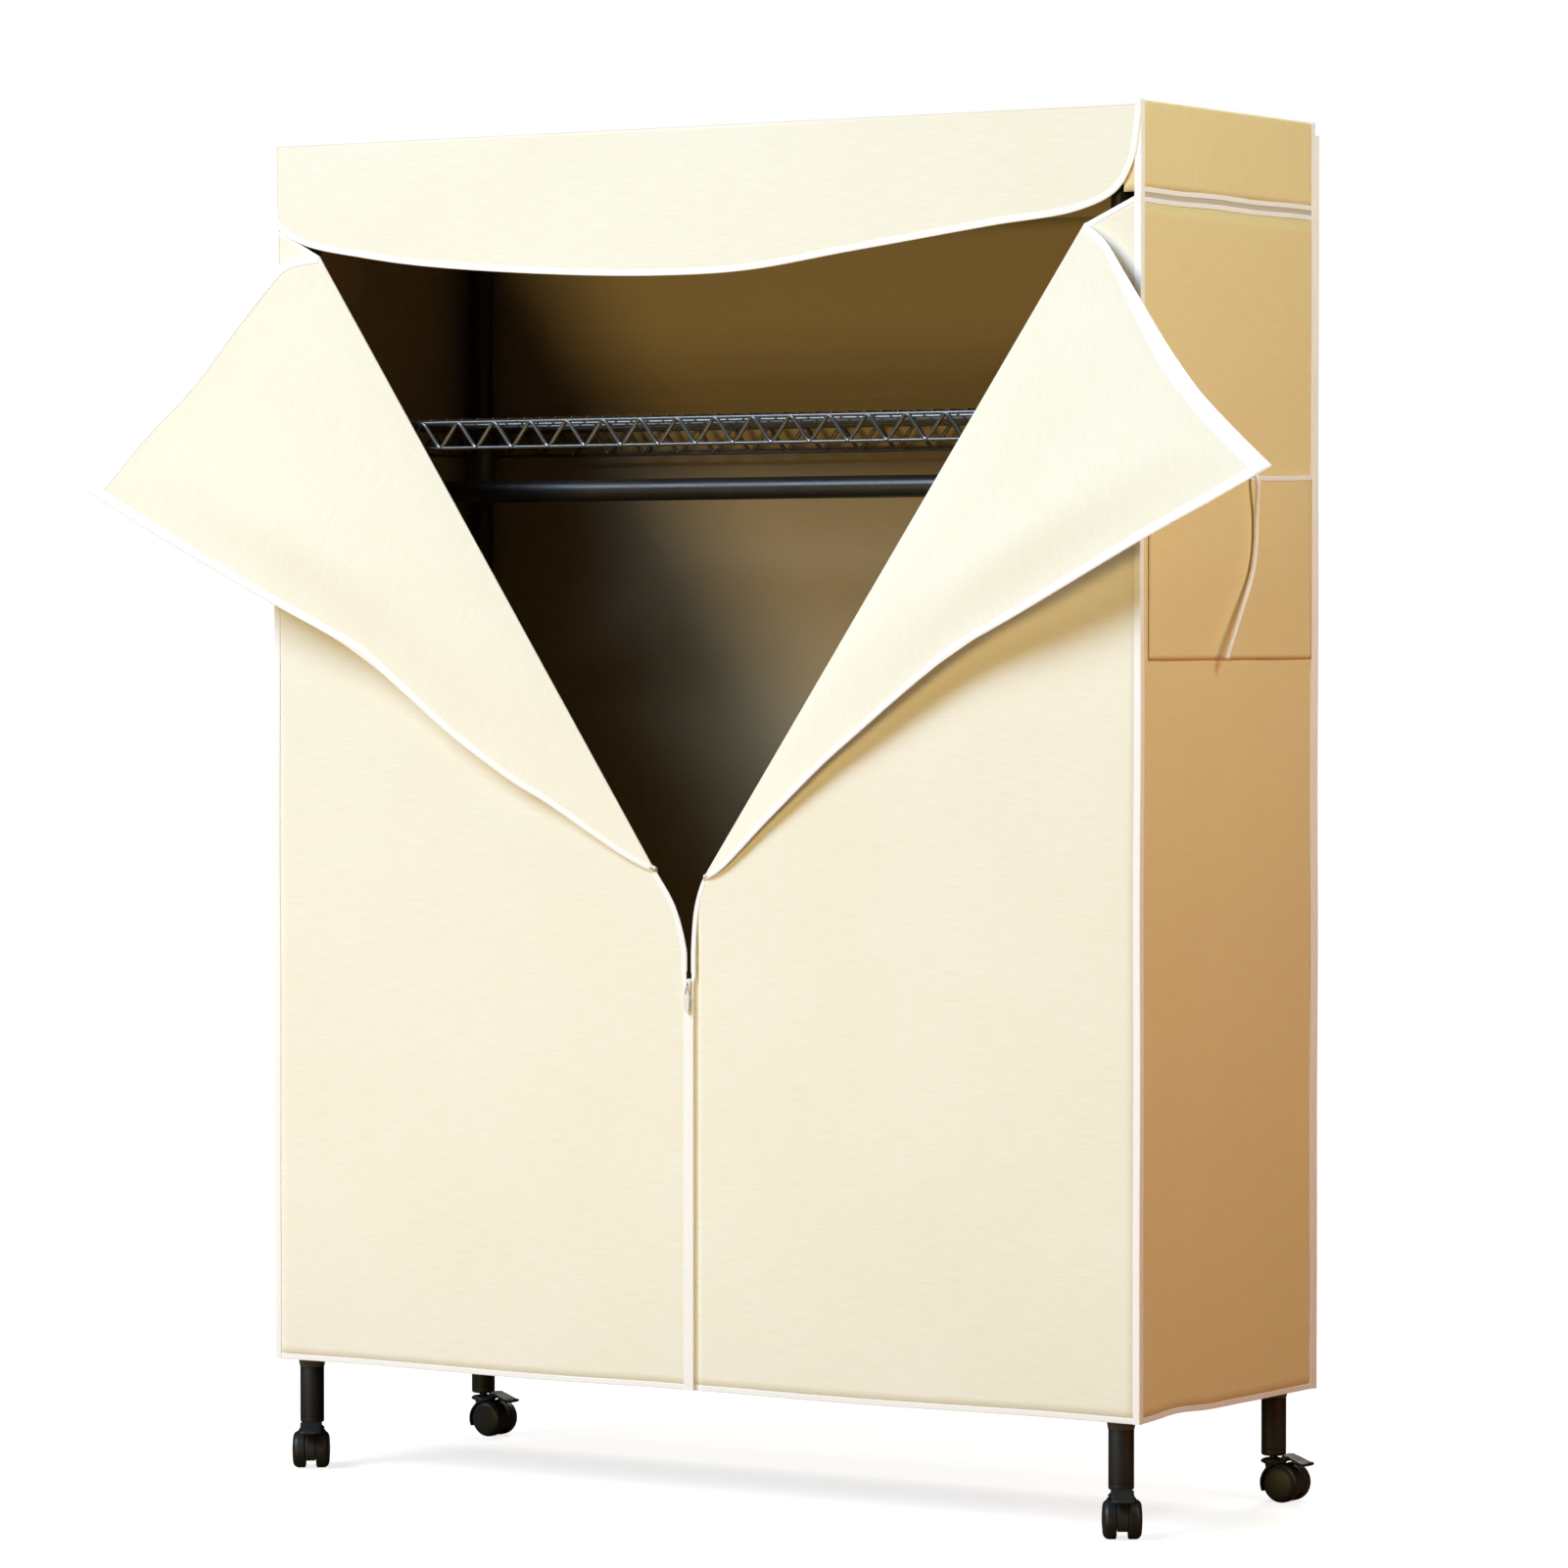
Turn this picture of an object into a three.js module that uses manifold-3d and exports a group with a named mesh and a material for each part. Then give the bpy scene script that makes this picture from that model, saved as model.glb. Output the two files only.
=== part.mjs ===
// Portable fabric wardrobe: a wire-shelf garment rack on four twin-wheel castors,
// inside a fabric cover whose two front panels are unzipped and folded back.
// Millimetres, +Z up, +X to the viewer's right, the front faces -Y, the floor at zero.

import * as THREE from 'three';
import { mergeVertices } from 'three/addons/utils/BufferGeometryUtils.js';
import Module from 'manifold-3d';

const wasm = await Module();
wasm.setup();

// Cover
const COVER_WIDTH = 1350;
const COVER_DEPTH = 460;
const TOTAL_HEIGHT = 1800;
const HEM_HEIGHT = 147;
const CLOTH = 2;
const SEAM_GAP = 0.4;
const TOUCH_GAP = 0.3;
const ROOF_SKIRT = 110;
const BAND_HEIGHT = 18;
const BINDING_WIDTH = 6;
const BINDING_RAISE = 1;

// Rack posts
const POST_DIAMETER = 30;
const POST_WALL = 1.1;
const POST_JOINT_HEIGHT = 930;
const SPIGOT_LENGTH = 30;
const PLUG_LENGTH = 24;
const FOOT_HEIGHT = 8;
const FOOT_ROUNDING = 3;
const CAP_HEIGHT = 4;
const CAP_ROUNDING = 1.5;

// Wire shelves
const UPPER_SHELF_HEIGHT = 1418;
const BOTTOM_SHELF_HEIGHT = 201;
const WIRE = 5;
const ZIGZAG_WIRE = 4;
const TRUSS_HEIGHT = 36;
const LONG_BAYS = 9;
const SHORT_BAYS = 3;
const MAT_BAYS = 50;
const COLLAR_FLANGE = 6.5;
const COLLAR_LIP = 1.2;
const COLLAR_REACH = 38;
const COLLAR_RISE = 3.5;
const RACK_TO_COVER_X = 19.5;
const RACK_TO_COVER_Y = 7.5;

// Hanging rod and its brackets
const ROD_DIAMETER = 30;
const ROD_WALL = 1.1;
const ROD_DROP = 54;
const BRACKET_WIDTH = 20;
const BRACKET_PLATE = 4;
const CUP_WALL = 3.7;
const CUP_LENGTH = 18;
const HOOK_LIP = 10;

// Castors
const WHEEL_DIAMETER = 50;
const WHEEL_WIDTH = 18;
const WHEEL_GAP = 15;
const WHEEL_EDGE = 3;
const WHEEL_DISH = 2;
const CASTOR_TRAIL = 20;
const AXLE_DIAMETER = 6;
const AXLE_SEAT = 12;
const AXLE_CLEARANCE = 0.3;
const WEB_WIDTH = 14;
const WEB_INSET = 1;
const WEB_LOW = 12;
const FENDER_CLEARANCE = 1.3;
const FENDER_THICKNESS = 4;
const FENDER_INSET = 2.5;
const FENDER_FRONT_ANGLE = 88;
const FENDER_REAR_ANGLE = 200;
const BOSS_DIAMETER = 20;
const BOSS_HEIGHT = 6;
const STEM_DIAMETER = 11;
const STEM_REACH = 26;
const NECK_HEIGHT = 4;
const PEDAL_WIDTH = 30;
const PEDAL_REACH = 38;
const PEDAL_DROP = 7;
const PEDAL_THICKNESS = 3.2;
const PEDAL_PIVOT_DIAMETER = 8;
const PEDAL_PIVOT_OFFSET = 2;
const FRONT_CASTOR_YAW = -57;
const BACK_CASTOR_YAW = 0;

// Folded flaps, zip, pocket and tie
const FLAP_REACH = 448;
const FLAP_STAND_OFF = 101;
const FLAP_BULGE = 8;
const FOLD_CLEARANCE = 0.5;
const SLIT_TOP_HEIGHT = 737;
const SLIDER_TOP_HEIGHT = 684;
const ZIP_TAPE_WIDTH = 13;
const ZIP_TAPE_THICKNESS = 1;
const ZIP_CHAIN_WIDTH = 5;
const ZIP_CHAIN_HEIGHT = 2;
const SLIDER_WIDTH = 10;
const SLIDER_LENGTH = 20;
const SLIDER_PLATE = 1.6;
const SLIDER_BRIDGE_WIDTH = 3;
const SLIDER_BRIDGE_LENGTH = 12;
const SLIDER_BRIDGE_HEIGHT = 5;
const SLIDER_BRIDGE_WALL = 1.5;
const PULL_LENGTH = 30;
const PULL_WIDTH = 8;
const PULL_THICKNESS = 1.4;
const PULL_BAR = 1.8;
const PULL_EYE_LENGTH = 7;
const POCKET_WIDTH = 430;
const POCKET_HEIGHT = 238;
const POCKET_DEPTH = 12;
const POCKET_TOP_HEIGHT = 1340;
const POCKET_SHIFT = 7;
const POCKET_BINDING_HEIGHT = 7;
const POCKET_BINDING_THICKNESS = 2.7;
const TIE_DIAMETER = 6.4;

// Facets of the round pieces
const POST_SIDES = 12;
const STEM_SIDES = 12;
const WHEEL_SIDES = 24;
const TIE_SIDES = 8;
const FENDER_STEPS = 8;
const FLAP_STEPS = 7;
const EDGE_STEPS = 28;
const TIE_STEPS = 22;
const OVERRUN = 5;
const QUARTER_TURN = Math.PI / 2;

// The valance's lower edge: shares of half the cover's width and of its total height
const valanceEdgeShares = [
  [-1, 0.949], [-0.985, 0.934], [-0.923, 0.9218], [-0.772, 0.9105], [-0.611, 0.9022],
  [-0.296, 0.8929], [-0.059, 0.8896], [0.131, 0.891], [0.374, 0.9022], [0.681, 0.9164],
  [0.871, 0.9249], [0.95, 0.9373], [0.985, 0.958], [1, 0.99],
];

// Each fold's two ends, as shares of half the cover's width and of its total height,
// and the free outline of its flap, as shares of the fold's length and the flap's reach
const flapShares = {
  left: {
    fold: [[-0.8877, 0.9126], [-0.079, 0.4572]],
    bend: [-0.0341, 0.4317],
    upper: [[0, 0], [-0.0154, 0.1613], [0.0595, 0.6787], [0.088, 1]],
    outer: [[0.088, 1], [0.3759, 0.6591], [0.5068, 0.4716]],
    lower: [[1, 0], [0.8632, 0.1685], [0.7555, 0.276], [0.6409, 0.3773], [0.5068, 0.4716]],
  },
  right: {
    fold: [[0.8828, 0.9152], [0.0347, 0.4524]],
    bend: [0.0156, 0.4317],
    upper: [[0, 0], [0.0219, 0.2991], [0.0622, 0.592], [0.0733, 1]],
    outer: [[0.0733, 1], [0.2436, 0.7685], [0.5306, 0.3931]],
    lower: [[1, 0], [0.8789, 0.1309], [0.7543, 0.2284], [0.6515, 0.2984], [0.5306, 0.3931]],
  },
};

// The pedal's top line, as shares of its reach and of its drop
const pedalTopShares = [[0, 0], [0.24, 0.06], [0.58, 0.42], [1, 1]];

// The tie's route, from its seam on the pocket's binding to its free end
const tieRoute = [
  [690.8, 31, 1337], [696.5, 31, 1336.5], [699.5, 32, 1329], [697, 36, 1313],
  [693, 41, 1290], [691.6, 41.5, 1250], [691.6, 34, 1215], [691.6, 21.5, 1191],
  [691.6, 4, 1164], [691.6, -10, 1142], [691.6, -23, 1122], [691.6, -35, 1103],
];

// Worked out from the sizes above
const halfWidth = COVER_WIDTH / 2;
const halfDepth = COVER_DEPTH / 2;
const panelFront = -halfDepth + CLOTH + SEAM_GAP;
const panelTop = TOTAL_HEIGHT - ROOF_SKIRT - BAND_HEIGHT;
const roofUnderside = TOTAL_HEIGHT - CLOTH;
const postRadius = POST_DIAMETER / 2;
const plugRadius = postRadius - POST_WALL - TOUCH_GAP;
const boreRadius = postRadius + TOUCH_GAP;
const collarRadius = postRadius + COLLAR_FLANGE;
const postX = halfWidth - RACK_TO_COVER_X - collarRadius;
const postY = halfDepth - RACK_TO_COVER_Y - collarRadius;
const wheelRadius = WHEEL_DIAMETER / 2;
const wheelTipRadius = wheelRadius / Math.cos(Math.PI / WHEEL_SIDES);
const fenderInner = wheelTipRadius + FENDER_CLEARANCE;
const fenderOuter = fenderInner + FENDER_THICKNESS;
const hoodTop = wheelRadius + fenderOuter;
const footBottom = hoodTop + NECK_HEIGHT;
const tubeBottom = footBottom + FOOT_HEIGHT + TOUCH_GAP;
const capTop = roofUnderside - TOUCH_GAP;
const tubeTop = capTop - CAP_HEIGHT - TOUCH_GAP;
const topShelfHeight = capTop - COLLAR_RISE;
const rodHeight = UPPER_SHELF_HEIGHT - TRUSS_HEIGHT - ROD_DROP;
const rodRadius = ROD_DIAMETER / 2;
const cupBore = rodRadius + TOUCH_GAP;
const cupRadius = cupBore + CUP_WALL;
const hookWireX = postX;
const bracketInnerFace = hookWireX - WIRE / 2 - TOUCH_GAP - BRACKET_PLATE;
const pivotRadius = PEDAL_PIVOT_DIAMETER / 2;
const pivotHeight = hoodTop + TOUCH_GAP + pivotRadius / 2;
const pocketInnerFace = halfWidth + SEAM_GAP;
const pocketFace = pocketInnerFace + POCKET_DEPTH;

// Materials
const powderCoat = new THREE.MeshStandardMaterial({ color: 0x1b1a19, roughness: 0.45, metalness: 0.3 });
const blackPlastic = new THREE.MeshStandardMaterial({ color: 0x191817, roughness: 0.5, metalness: 0 });
const wheelPlastic = new THREE.MeshStandardMaterial({ color: 0x151412, roughness: 0.4, metalness: 0 });
const steel = new THREE.MeshStandardMaterial({ color: 0x9a9a98, roughness: 0.35, metalness: 0.9 });
const creamCloth = new THREE.MeshStandardMaterial({ color: 0xf2e6bd, roughness: 0.9, metalness: 0 });
const whiteTape = new THREE.MeshStandardMaterial({ color: 0xfbf9f3, roughness: 0.75, metalness: 0 });
const zipEnamel = new THREE.MeshStandardMaterial({ color: 0xe9e6df, roughness: 0.4, metalness: 0.1 });

const group = new THREE.Group();

// A named piece in its place
function addPiece(name, geometry, material, parent = group) {
  const mesh = new THREE.Mesh(geometry, material);
  mesh.name = name;
  parent.add(mesh);
  return mesh;
}

// A closed body with shared vertices, no flat triangles and its faces pointing out
function closedBody(source) {
  source.deleteAttribute('normal');
  source.deleteAttribute('uv');
  const merged = mergeVertices(source);
  const corners = merged.index.array;
  const kept = [];
  for (let i = 0; i < corners.length; i += 3) {
    const [a, b, c] = [corners[i], corners[i + 1], corners[i + 2]];
    if (a !== b && b !== c && c !== a) kept.push(a, b, c);
  }
  const [p, q, r] = [new THREE.Vector3(), new THREE.Vector3(), new THREE.Vector3()];
  let volume = 0;
  for (let i = 0; i < kept.length; i += 3) {
    p.fromBufferAttribute(merged.attributes.position, kept[i]);
    q.fromBufferAttribute(merged.attributes.position, kept[i + 1]);
    r.fromBufferAttribute(merged.attributes.position, kept[i + 2]);
    volume += p.dot(q.cross(r));
  }
  if (volume < 0) kept.reverse();
  merged.setIndex(kept);
  return merged;
}

function toSolid(geometry) {
  const body = closedBody(geometry.clone());
  return new wasm.Manifold(new wasm.Mesh({
    numProp: 3,
    vertProperties: new Float32Array(body.attributes.position.array),
    triVerts: new Uint32Array(body.index.array),
  }));
}

function toGeometry(solid) {
  const mesh = solid.getMesh();
  const geometry = new THREE.BufferGeometry();
  geometry.setAttribute('position', new THREE.BufferAttribute(mesh.vertProperties, 3));
  geometry.setIndex(new THREE.BufferAttribute(mesh.triVerts, 1));
  return geometry;
}

// Joins the first list of shapes and cuts the second list out of them
function joinAndCut(joined, cut = []) {
  let solid = toSolid(joined[0]);
  for (const geometry of joined.slice(1)) solid = solid.add(toSolid(geometry));
  for (const geometry of cut) solid = solid.subtract(toSolid(geometry));
  return toGeometry(solid);
}

function box([x0, x1], [y0, y1], [z0, z1]) {
  const geometry = new THREE.BoxGeometry(x1 - x0, y1 - y0, z1 - z0);
  return closedBody(geometry.translate((x0 + x1) / 2, (y0 + y1) / 2, (z0 + z1) / 2));
}

// Turned about Z; the profile is a list of radius and height
function turned(profile, sides) {
  const points = profile.map(([radius, height]) => new THREE.Vector2(radius, height));
  return closedBody(new THREE.LatheGeometry(points, sides).rotateX(QUARTER_TURN));
}

function cylinder(radius, [z0, z1], sides) {
  return turned([[0, z0], [radius, z0], [radius, z1], [0, z1]], sides);
}

function shapeOf(points) {
  return new THREE.Shape(points.map(([x, y]) => new THREE.Vector2(x, y)));
}

function extruded(shape, depth) {
  return new THREE.ExtrudeGeometry(shape, { depth, bevelEnabled: false });
}

// A shape drawn in X and Z, given its depth along Y from y0
function alongY(shape, y0, depth) {
  return closedBody(extruded(shape, depth).rotateX(QUARTER_TURN).translate(0, y0 + depth, 0));
}

// A shape drawn in Y and Z, given its depth along X from x0
function alongX(shape, x0, depth) {
  const flat = extruded(shape, depth).rotateX(QUARTER_TURN).rotateZ(QUARTER_TURN);
  return closedBody(flat.translate(x0, 0, 0));
}

function moved(geometry, x, y, z) {
  return geometry.clone().translate(x, y, z);
}

function smoothCurve(points) {
  return new THREE.CatmullRomCurve3(points, false, 'centripetal');
}

// A closed slab about a grid of points, half the thickness to each side
function sheet(grid, thickness) {
  const rows = grid.length;
  const columns = grid[0].length;
  const positions = [];
  for (const side of [1, -1]) {
    for (let i = 0; i < rows; i += 1) {
      for (let j = 0; j < columns; j += 1) {
        const down = grid[Math.min(i + 1, rows - 1)][j].clone().sub(grid[Math.max(i - 1, 0)][j]);
        const across = grid[i][Math.min(j + 1, columns - 1)].clone().sub(grid[i][Math.max(j - 1, 0)]);
        const offset = down.cross(across).normalize().multiplyScalar(side * thickness / 2);
        positions.push(...grid[i][j].clone().add(offset).toArray());
      }
    }
  }
  const back = rows * columns;
  const at = (i, j) => i * columns + j;
  const index = [];
  const quad = (a, b, c, d) => index.push(a, b, c, a, c, d);
  for (let i = 0; i < rows - 1; i += 1) {
    for (let j = 0; j < columns - 1; j += 1) {
      quad(at(i, j), at(i + 1, j), at(i + 1, j + 1), at(i, j + 1));
      quad(back + at(i, j), back + at(i, j + 1), back + at(i + 1, j + 1), back + at(i + 1, j));
    }
  }
  const wall = (a, b) => quad(a, b, back + b, back + a);
  for (let i = 0; i < rows - 1; i += 1) {
    wall(at(i + 1, 0), at(i, 0));
    wall(at(i, columns - 1), at(i + 1, columns - 1));
  }
  for (let j = 0; j < columns - 1; j += 1) {
    wall(at(0, j), at(0, j + 1));
    wall(at(rows - 1, j + 1), at(rows - 1, j));
  }
  const geometry = new THREE.BufferGeometry();
  geometry.setAttribute('position', new THREE.Float32BufferAttribute(positions, 3));
  geometry.setIndex(index);
  return closedBody(geometry);
}

const corners = [
  { name: 'front_left', x: -postX, y: -postY, yaw: FRONT_CASTOR_YAW },
  { name: 'front_right', x: postX, y: -postY, yaw: FRONT_CASTOR_YAW },
  { name: 'back_left', x: -postX, y: postY, yaw: BACK_CASTOR_YAW },
  { name: 'back_right', x: postX, y: postY, yaw: BACK_CASTOR_YAW },
];

// Posts: two steel tubes each, a plastic foot and a plastic cap
const tubeInner = postRadius - POST_WALL;
const spigotInner = plugRadius - POST_WALL;
const lowerPost = turned([
  [tubeInner, tubeBottom], [postRadius, tubeBottom], [postRadius, POST_JOINT_HEIGHT],
  [plugRadius, POST_JOINT_HEIGHT], [plugRadius, POST_JOINT_HEIGHT + SPIGOT_LENGTH],
  [spigotInner, POST_JOINT_HEIGHT + SPIGOT_LENGTH], [spigotInner, POST_JOINT_HEIGHT - SPIGOT_LENGTH],
  [tubeInner, POST_JOINT_HEIGHT - SPIGOT_LENGTH], [tubeInner, tubeBottom],
], POST_SIDES);
const upperPostBottom = POST_JOINT_HEIGHT + TOUCH_GAP;
const upperPost = turned([
  [tubeInner, upperPostBottom], [postRadius, upperPostBottom], [postRadius, tubeTop],
  [tubeInner, tubeTop], [tubeInner, upperPostBottom],
], POST_SIDES);

const stemRadius = STEM_DIAMETER / 2;
const socketRadius = (stemRadius + TOUCH_GAP) / Math.cos(Math.PI / POST_SIDES);
const socketTop = footBottom + STEM_REACH + TOUCH_GAP;
const footShoulder = footBottom + FOOT_HEIGHT;
const footPlug = turned([
  [0, socketTop], [socketRadius, socketTop], [socketRadius, footBottom],
  [postRadius - FOOT_ROUNDING, footBottom], [postRadius, footBottom + FOOT_ROUNDING],
  [postRadius, footShoulder], [plugRadius, footShoulder],
  [plugRadius, footShoulder + PLUG_LENGTH], [0, footShoulder + PLUG_LENGTH],
], POST_SIDES);
const postCap = turned([
  [0, capTop - CAP_HEIGHT - PLUG_LENGTH], [plugRadius, capTop - CAP_HEIGHT - PLUG_LENGTH],
  [plugRadius, capTop - CAP_HEIGHT], [postRadius, capTop - CAP_HEIGHT],
  [postRadius, capTop - CAP_ROUNDING], [postRadius - CAP_ROUNDING, capTop], [0, capTop],
], POST_SIDES);

for (const corner of corners) {
  addPiece(`lower_post_${corner.name}`, moved(lowerPost, corner.x, corner.y, 0), powderCoat);
  addPiece(`upper_post_${corner.name}`, moved(upperPost, corner.x, corner.y, 0), powderCoat);
  addPiece(`post_foot_${corner.name}`, moved(footPlug, corner.x, corner.y, 0), blackPlastic);
  addPiece(`post_cap_${corner.name}`, moved(postCap, corner.x, corner.y, 0), blackPlastic);
}

// Wire shelves, drawn with the middle of the top wire at height zero
function zigzag(length, bays) {
  const steps = 2 * bays;
  const stepLength = length / steps;
  const slope = Math.atan2(TRUSS_HEIGHT, stepLength);
  const rise = ZIGZAG_WIRE / 2 / Math.cos(slope);
  const upper = [];
  const lower = [];
  for (let k = 0; k <= steps; k += 1) {
    const x = -length / 2 + k * stepLength;
    const z = k % 2 ? 0 : -TRUSS_HEIGHT;
    upper.push([x, z + rise]);
    lower.unshift([x, z - rise]);
  }
  return shapeOf([...upper, ...lower]);
}

function makeShelf() {
  const wireRadius = WIRE / 2;
  const spread = (reach) => [-reach, reach];
  const bay = 2 * postX / MAT_BAYS;
  const gaps = [];
  for (let i = 0; i < MAT_BAYS; i += 1) {
    const gapStart = -postX + i * bay + wireRadius;
    gaps.push(box([gapStart, gapStart + bay - WIRE], spread(postY - wireRadius), spread(WIRE)));
  }
  const plate = box(spread(postX + wireRadius), spread(postY + wireRadius), spread(wireRadius));
  const joined = [joinAndCut([plate], gaps)];
  const lowWire = [-TRUSS_HEIGHT - wireRadius, -TRUSS_HEIGHT + wireRadius];
  const longZigzag = zigzag(2 * postX, LONG_BAYS);
  const shortZigzag = zigzag(2 * postY, SHORT_BAYS);
  for (const side of [-1, 1]) {
    joined.push(alongY(longZigzag, side * postY - ZIGZAG_WIRE / 2, ZIGZAG_WIRE));
    joined.push(alongX(shortZigzag, side * postX - ZIGZAG_WIRE / 2, ZIGZAG_WIRE));
    joined.push(box([-postX, postX], [side * postY - wireRadius, side * postY + wireRadius], lowWire));
    joined.push(box([side * postX - wireRadius, side * postX + wireRadius], [-postY, postY], lowWire));
  }
  const collar = turned([
    [0, -TRUSS_HEIGHT - COLLAR_REACH], [boreRadius + COLLAR_LIP, -TRUSS_HEIGHT - COLLAR_REACH],
    [collarRadius, -TRUSS_HEIGHT], [collarRadius, COLLAR_RISE], [0, COLLAR_RISE],
  ], POST_SIDES);
  const boreEnds = [-TRUSS_HEIGHT - COLLAR_REACH - OVERRUN, COLLAR_RISE + OVERRUN];
  const bore = cylinder(boreRadius, boreEnds, POST_SIDES);
  for (const corner of corners) joined.push(moved(collar, corner.x, corner.y, 0));
  return joinAndCut(joined, corners.map((corner) => moved(bore, corner.x, corner.y, 0)));
}

const shelf = makeShelf();
addPiece('bottom_shelf', moved(shelf, 0, 0, BOTTOM_SHELF_HEIGHT), powderCoat);
addPiece('upper_shelf', moved(shelf, 0, 0, UPPER_SHELF_HEIGHT), powderCoat);
addPiece('top_shelf', moved(shelf, 0, 0, topShelfHeight), powderCoat);

// Hanging rod, and the brackets that hook it on the upper shelf's short sides
const rodEnd = bracketInnerFace - TOUCH_GAP;
const rodTube = turned([
  [rodRadius - ROD_WALL, -rodEnd], [rodRadius, -rodEnd], [rodRadius, rodEnd],
  [rodRadius - ROD_WALL, rodEnd], [rodRadius - ROD_WALL, -rodEnd],
], POST_SIDES);
addPiece('hanging_rod', rodTube.rotateY(QUARTER_TURN).translate(0, 0, rodHeight), powderCoat);

function makeBracket() {
  const wireTop = UPPER_SHELF_HEIGHT - TRUSS_HEIGHT + WIRE / 2;
  const bridge = [wireTop + TOUCH_GAP, wireTop + TOUCH_GAP + BRACKET_PLATE];
  const innerLeg = [bracketInnerFace, bracketInnerFace + BRACKET_PLATE];
  const outerFace = hookWireX + WIRE / 2 + TOUCH_GAP;
  const outerLeg = [outerFace, outerFace + BRACKET_PLATE];
  const width = [-BRACKET_WIDTH / 2, BRACKET_WIDTH / 2];
  const cupEnds = [bracketInnerFace - CUP_LENGTH, bracketInnerFace + BRACKET_PLATE];
  const boreEnds = [cupEnds[0] - OVERRUN, bracketInnerFace];
  const cup = cylinder(cupRadius, cupEnds, POST_SIDES).rotateY(QUARTER_TURN).translate(0, 0, rodHeight);
  const bore = cylinder(cupBore, boreEnds, POST_SIDES).rotateY(QUARTER_TURN).translate(0, 0, rodHeight);
  return joinAndCut([
    cup,
    box(innerLeg, width, [rodHeight, bridge[1]]),
    box([innerLeg[0], outerLeg[1]], width, bridge),
    box(outerLeg, width, [bridge[0] - HOOK_LIP, bridge[1]]),
  ], [bore]);
}

const bracket = makeBracket();
addPiece('rod_bracket_right', bracket, powderCoat);
addPiece('rod_bracket_left', bracket.clone().rotateZ(Math.PI), powderCoat);

// Castors, drawn about the swivel axis with the wheels trailing towards +X
const webInner = WHEEL_GAP / 2;
const wheelBore = (AXLE_DIAMETER / 2 + AXLE_CLEARANCE) / Math.cos(Math.PI / STEM_SIDES);
const axleHalf = WHEEL_GAP / 2 + AXLE_SEAT;

function ringSector(inner, outer, fromAngle, toAngle) {
  const at = (radius, angle) => [
    CASTOR_TRAIL + radius * Math.cos(THREE.MathUtils.degToRad(angle)),
    wheelRadius + radius * Math.sin(THREE.MathUtils.degToRad(angle)),
  ];
  const points = [];
  for (let k = 0; k <= FENDER_STEPS; k += 1) {
    points.push(at(outer, fromAngle + (toAngle - fromAngle) * k / FENDER_STEPS));
  }
  for (let k = FENDER_STEPS; k >= 0; k -= 1) {
    points.push(at(inner, fromAngle + (toAngle - fromAngle) * k / FENDER_STEPS));
  }
  return shapeOf(points);
}

// A bar across the castor, parallel to its axle
function crossBar(radius, x, z, halfLength, sides) {
  return cylinder(radius, [-halfLength, halfLength], sides).rotateX(QUARTER_TURN).translate(x, 0, z);
}

function makeHood() {
  const fenderWidth = 2 * WHEEL_WIDTH + WHEEL_GAP - 2 * FENDER_INSET;
  const bossRadius = BOSS_DIAMETER / 2;
  const pivotX = CASTOR_TRAIL + PEDAL_PIVOT_OFFSET;
  const fender = ringSector(fenderInner, fenderOuter, FENDER_FRONT_ANGLE, FENDER_REAR_ANGLE);
  const crown = shapeOf([
    [-bossRadius, wheelRadius], [CASTOR_TRAIL, wheelRadius], [CASTOR_TRAIL, hoodTop], [-bossRadius, hoodTop],
  ]);
  return joinAndCut([
    alongY(fender, -fenderWidth / 2, fenderWidth),
    crossBar(wheelRadius - WEB_INSET, CASTOR_TRAIL, wheelRadius, WEB_WIDTH / 2, WHEEL_SIDES),
    alongY(crown, -WEB_WIDTH / 2, WEB_WIDTH),
    cylinder(bossRadius, [hoodTop - BOSS_HEIGHT, hoodTop], POST_SIDES),
    cylinder(stemRadius, [hoodTop - BOSS_HEIGHT, footBottom + STEM_REACH], STEM_SIDES),
  ], [
    box([-wheelRadius, CASTOR_TRAIL + WHEEL_DIAMETER], [-fenderWidth, fenderWidth], [-OVERRUN, WEB_LOW]),
    crossBar(wheelBore, CASTOR_TRAIL, wheelRadius, fenderWidth, STEM_SIDES),
    crossBar(pivotRadius + TOUCH_GAP, pivotX, pivotHeight, fenderWidth, POST_SIDES),
  ]);
}

// One wheel about Z: a plain tread, a bevelled edge, a dished outer face and a blind bore
function makeWheel() {
  const facetShare = wheelTipRadius / wheelRadius;
  const boreDepth = AXLE_SEAT + AXLE_CLEARANCE;
  return turned([
    [0, boreDepth], [wheelBore, boreDepth], [wheelBore, 0], [wheelTipRadius, 0],
    [wheelTipRadius, WHEEL_WIDTH - WHEEL_EDGE], [(wheelRadius - WHEEL_EDGE) * facetShare, WHEEL_WIDTH],
    [0, WHEEL_WIDTH - WHEEL_DISH],
  ], WHEEL_SIDES).rotateZ(Math.PI / WHEEL_SIDES);
}

function makePedal() {
  const pivotX = CASTOR_TRAIL + PEDAL_PIVOT_OFFSET;
  const top = pedalTopShares.map(([along, down]) => [
    pivotX + along * PEDAL_REACH, pivotHeight + pivotRadius - down * PEDAL_DROP,
  ]);
  const bottom = top.map(([x, z]) => [x, z - PEDAL_THICKNESS]).reverse();
  const plate = alongY(shapeOf([...top, ...bottom]), -PEDAL_WIDTH / 2, PEDAL_WIDTH);
  return joinAndCut([plate, crossBar(pivotRadius, pivotX, pivotHeight, PEDAL_WIDTH / 2, POST_SIDES)]);
}

const hood = makeHood();
const wheel = makeWheel();
const pedal = makePedal();
const axle = crossBar(AXLE_DIAMETER / 2, CASTOR_TRAIL, wheelRadius, axleHalf, STEM_SIDES);

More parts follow.
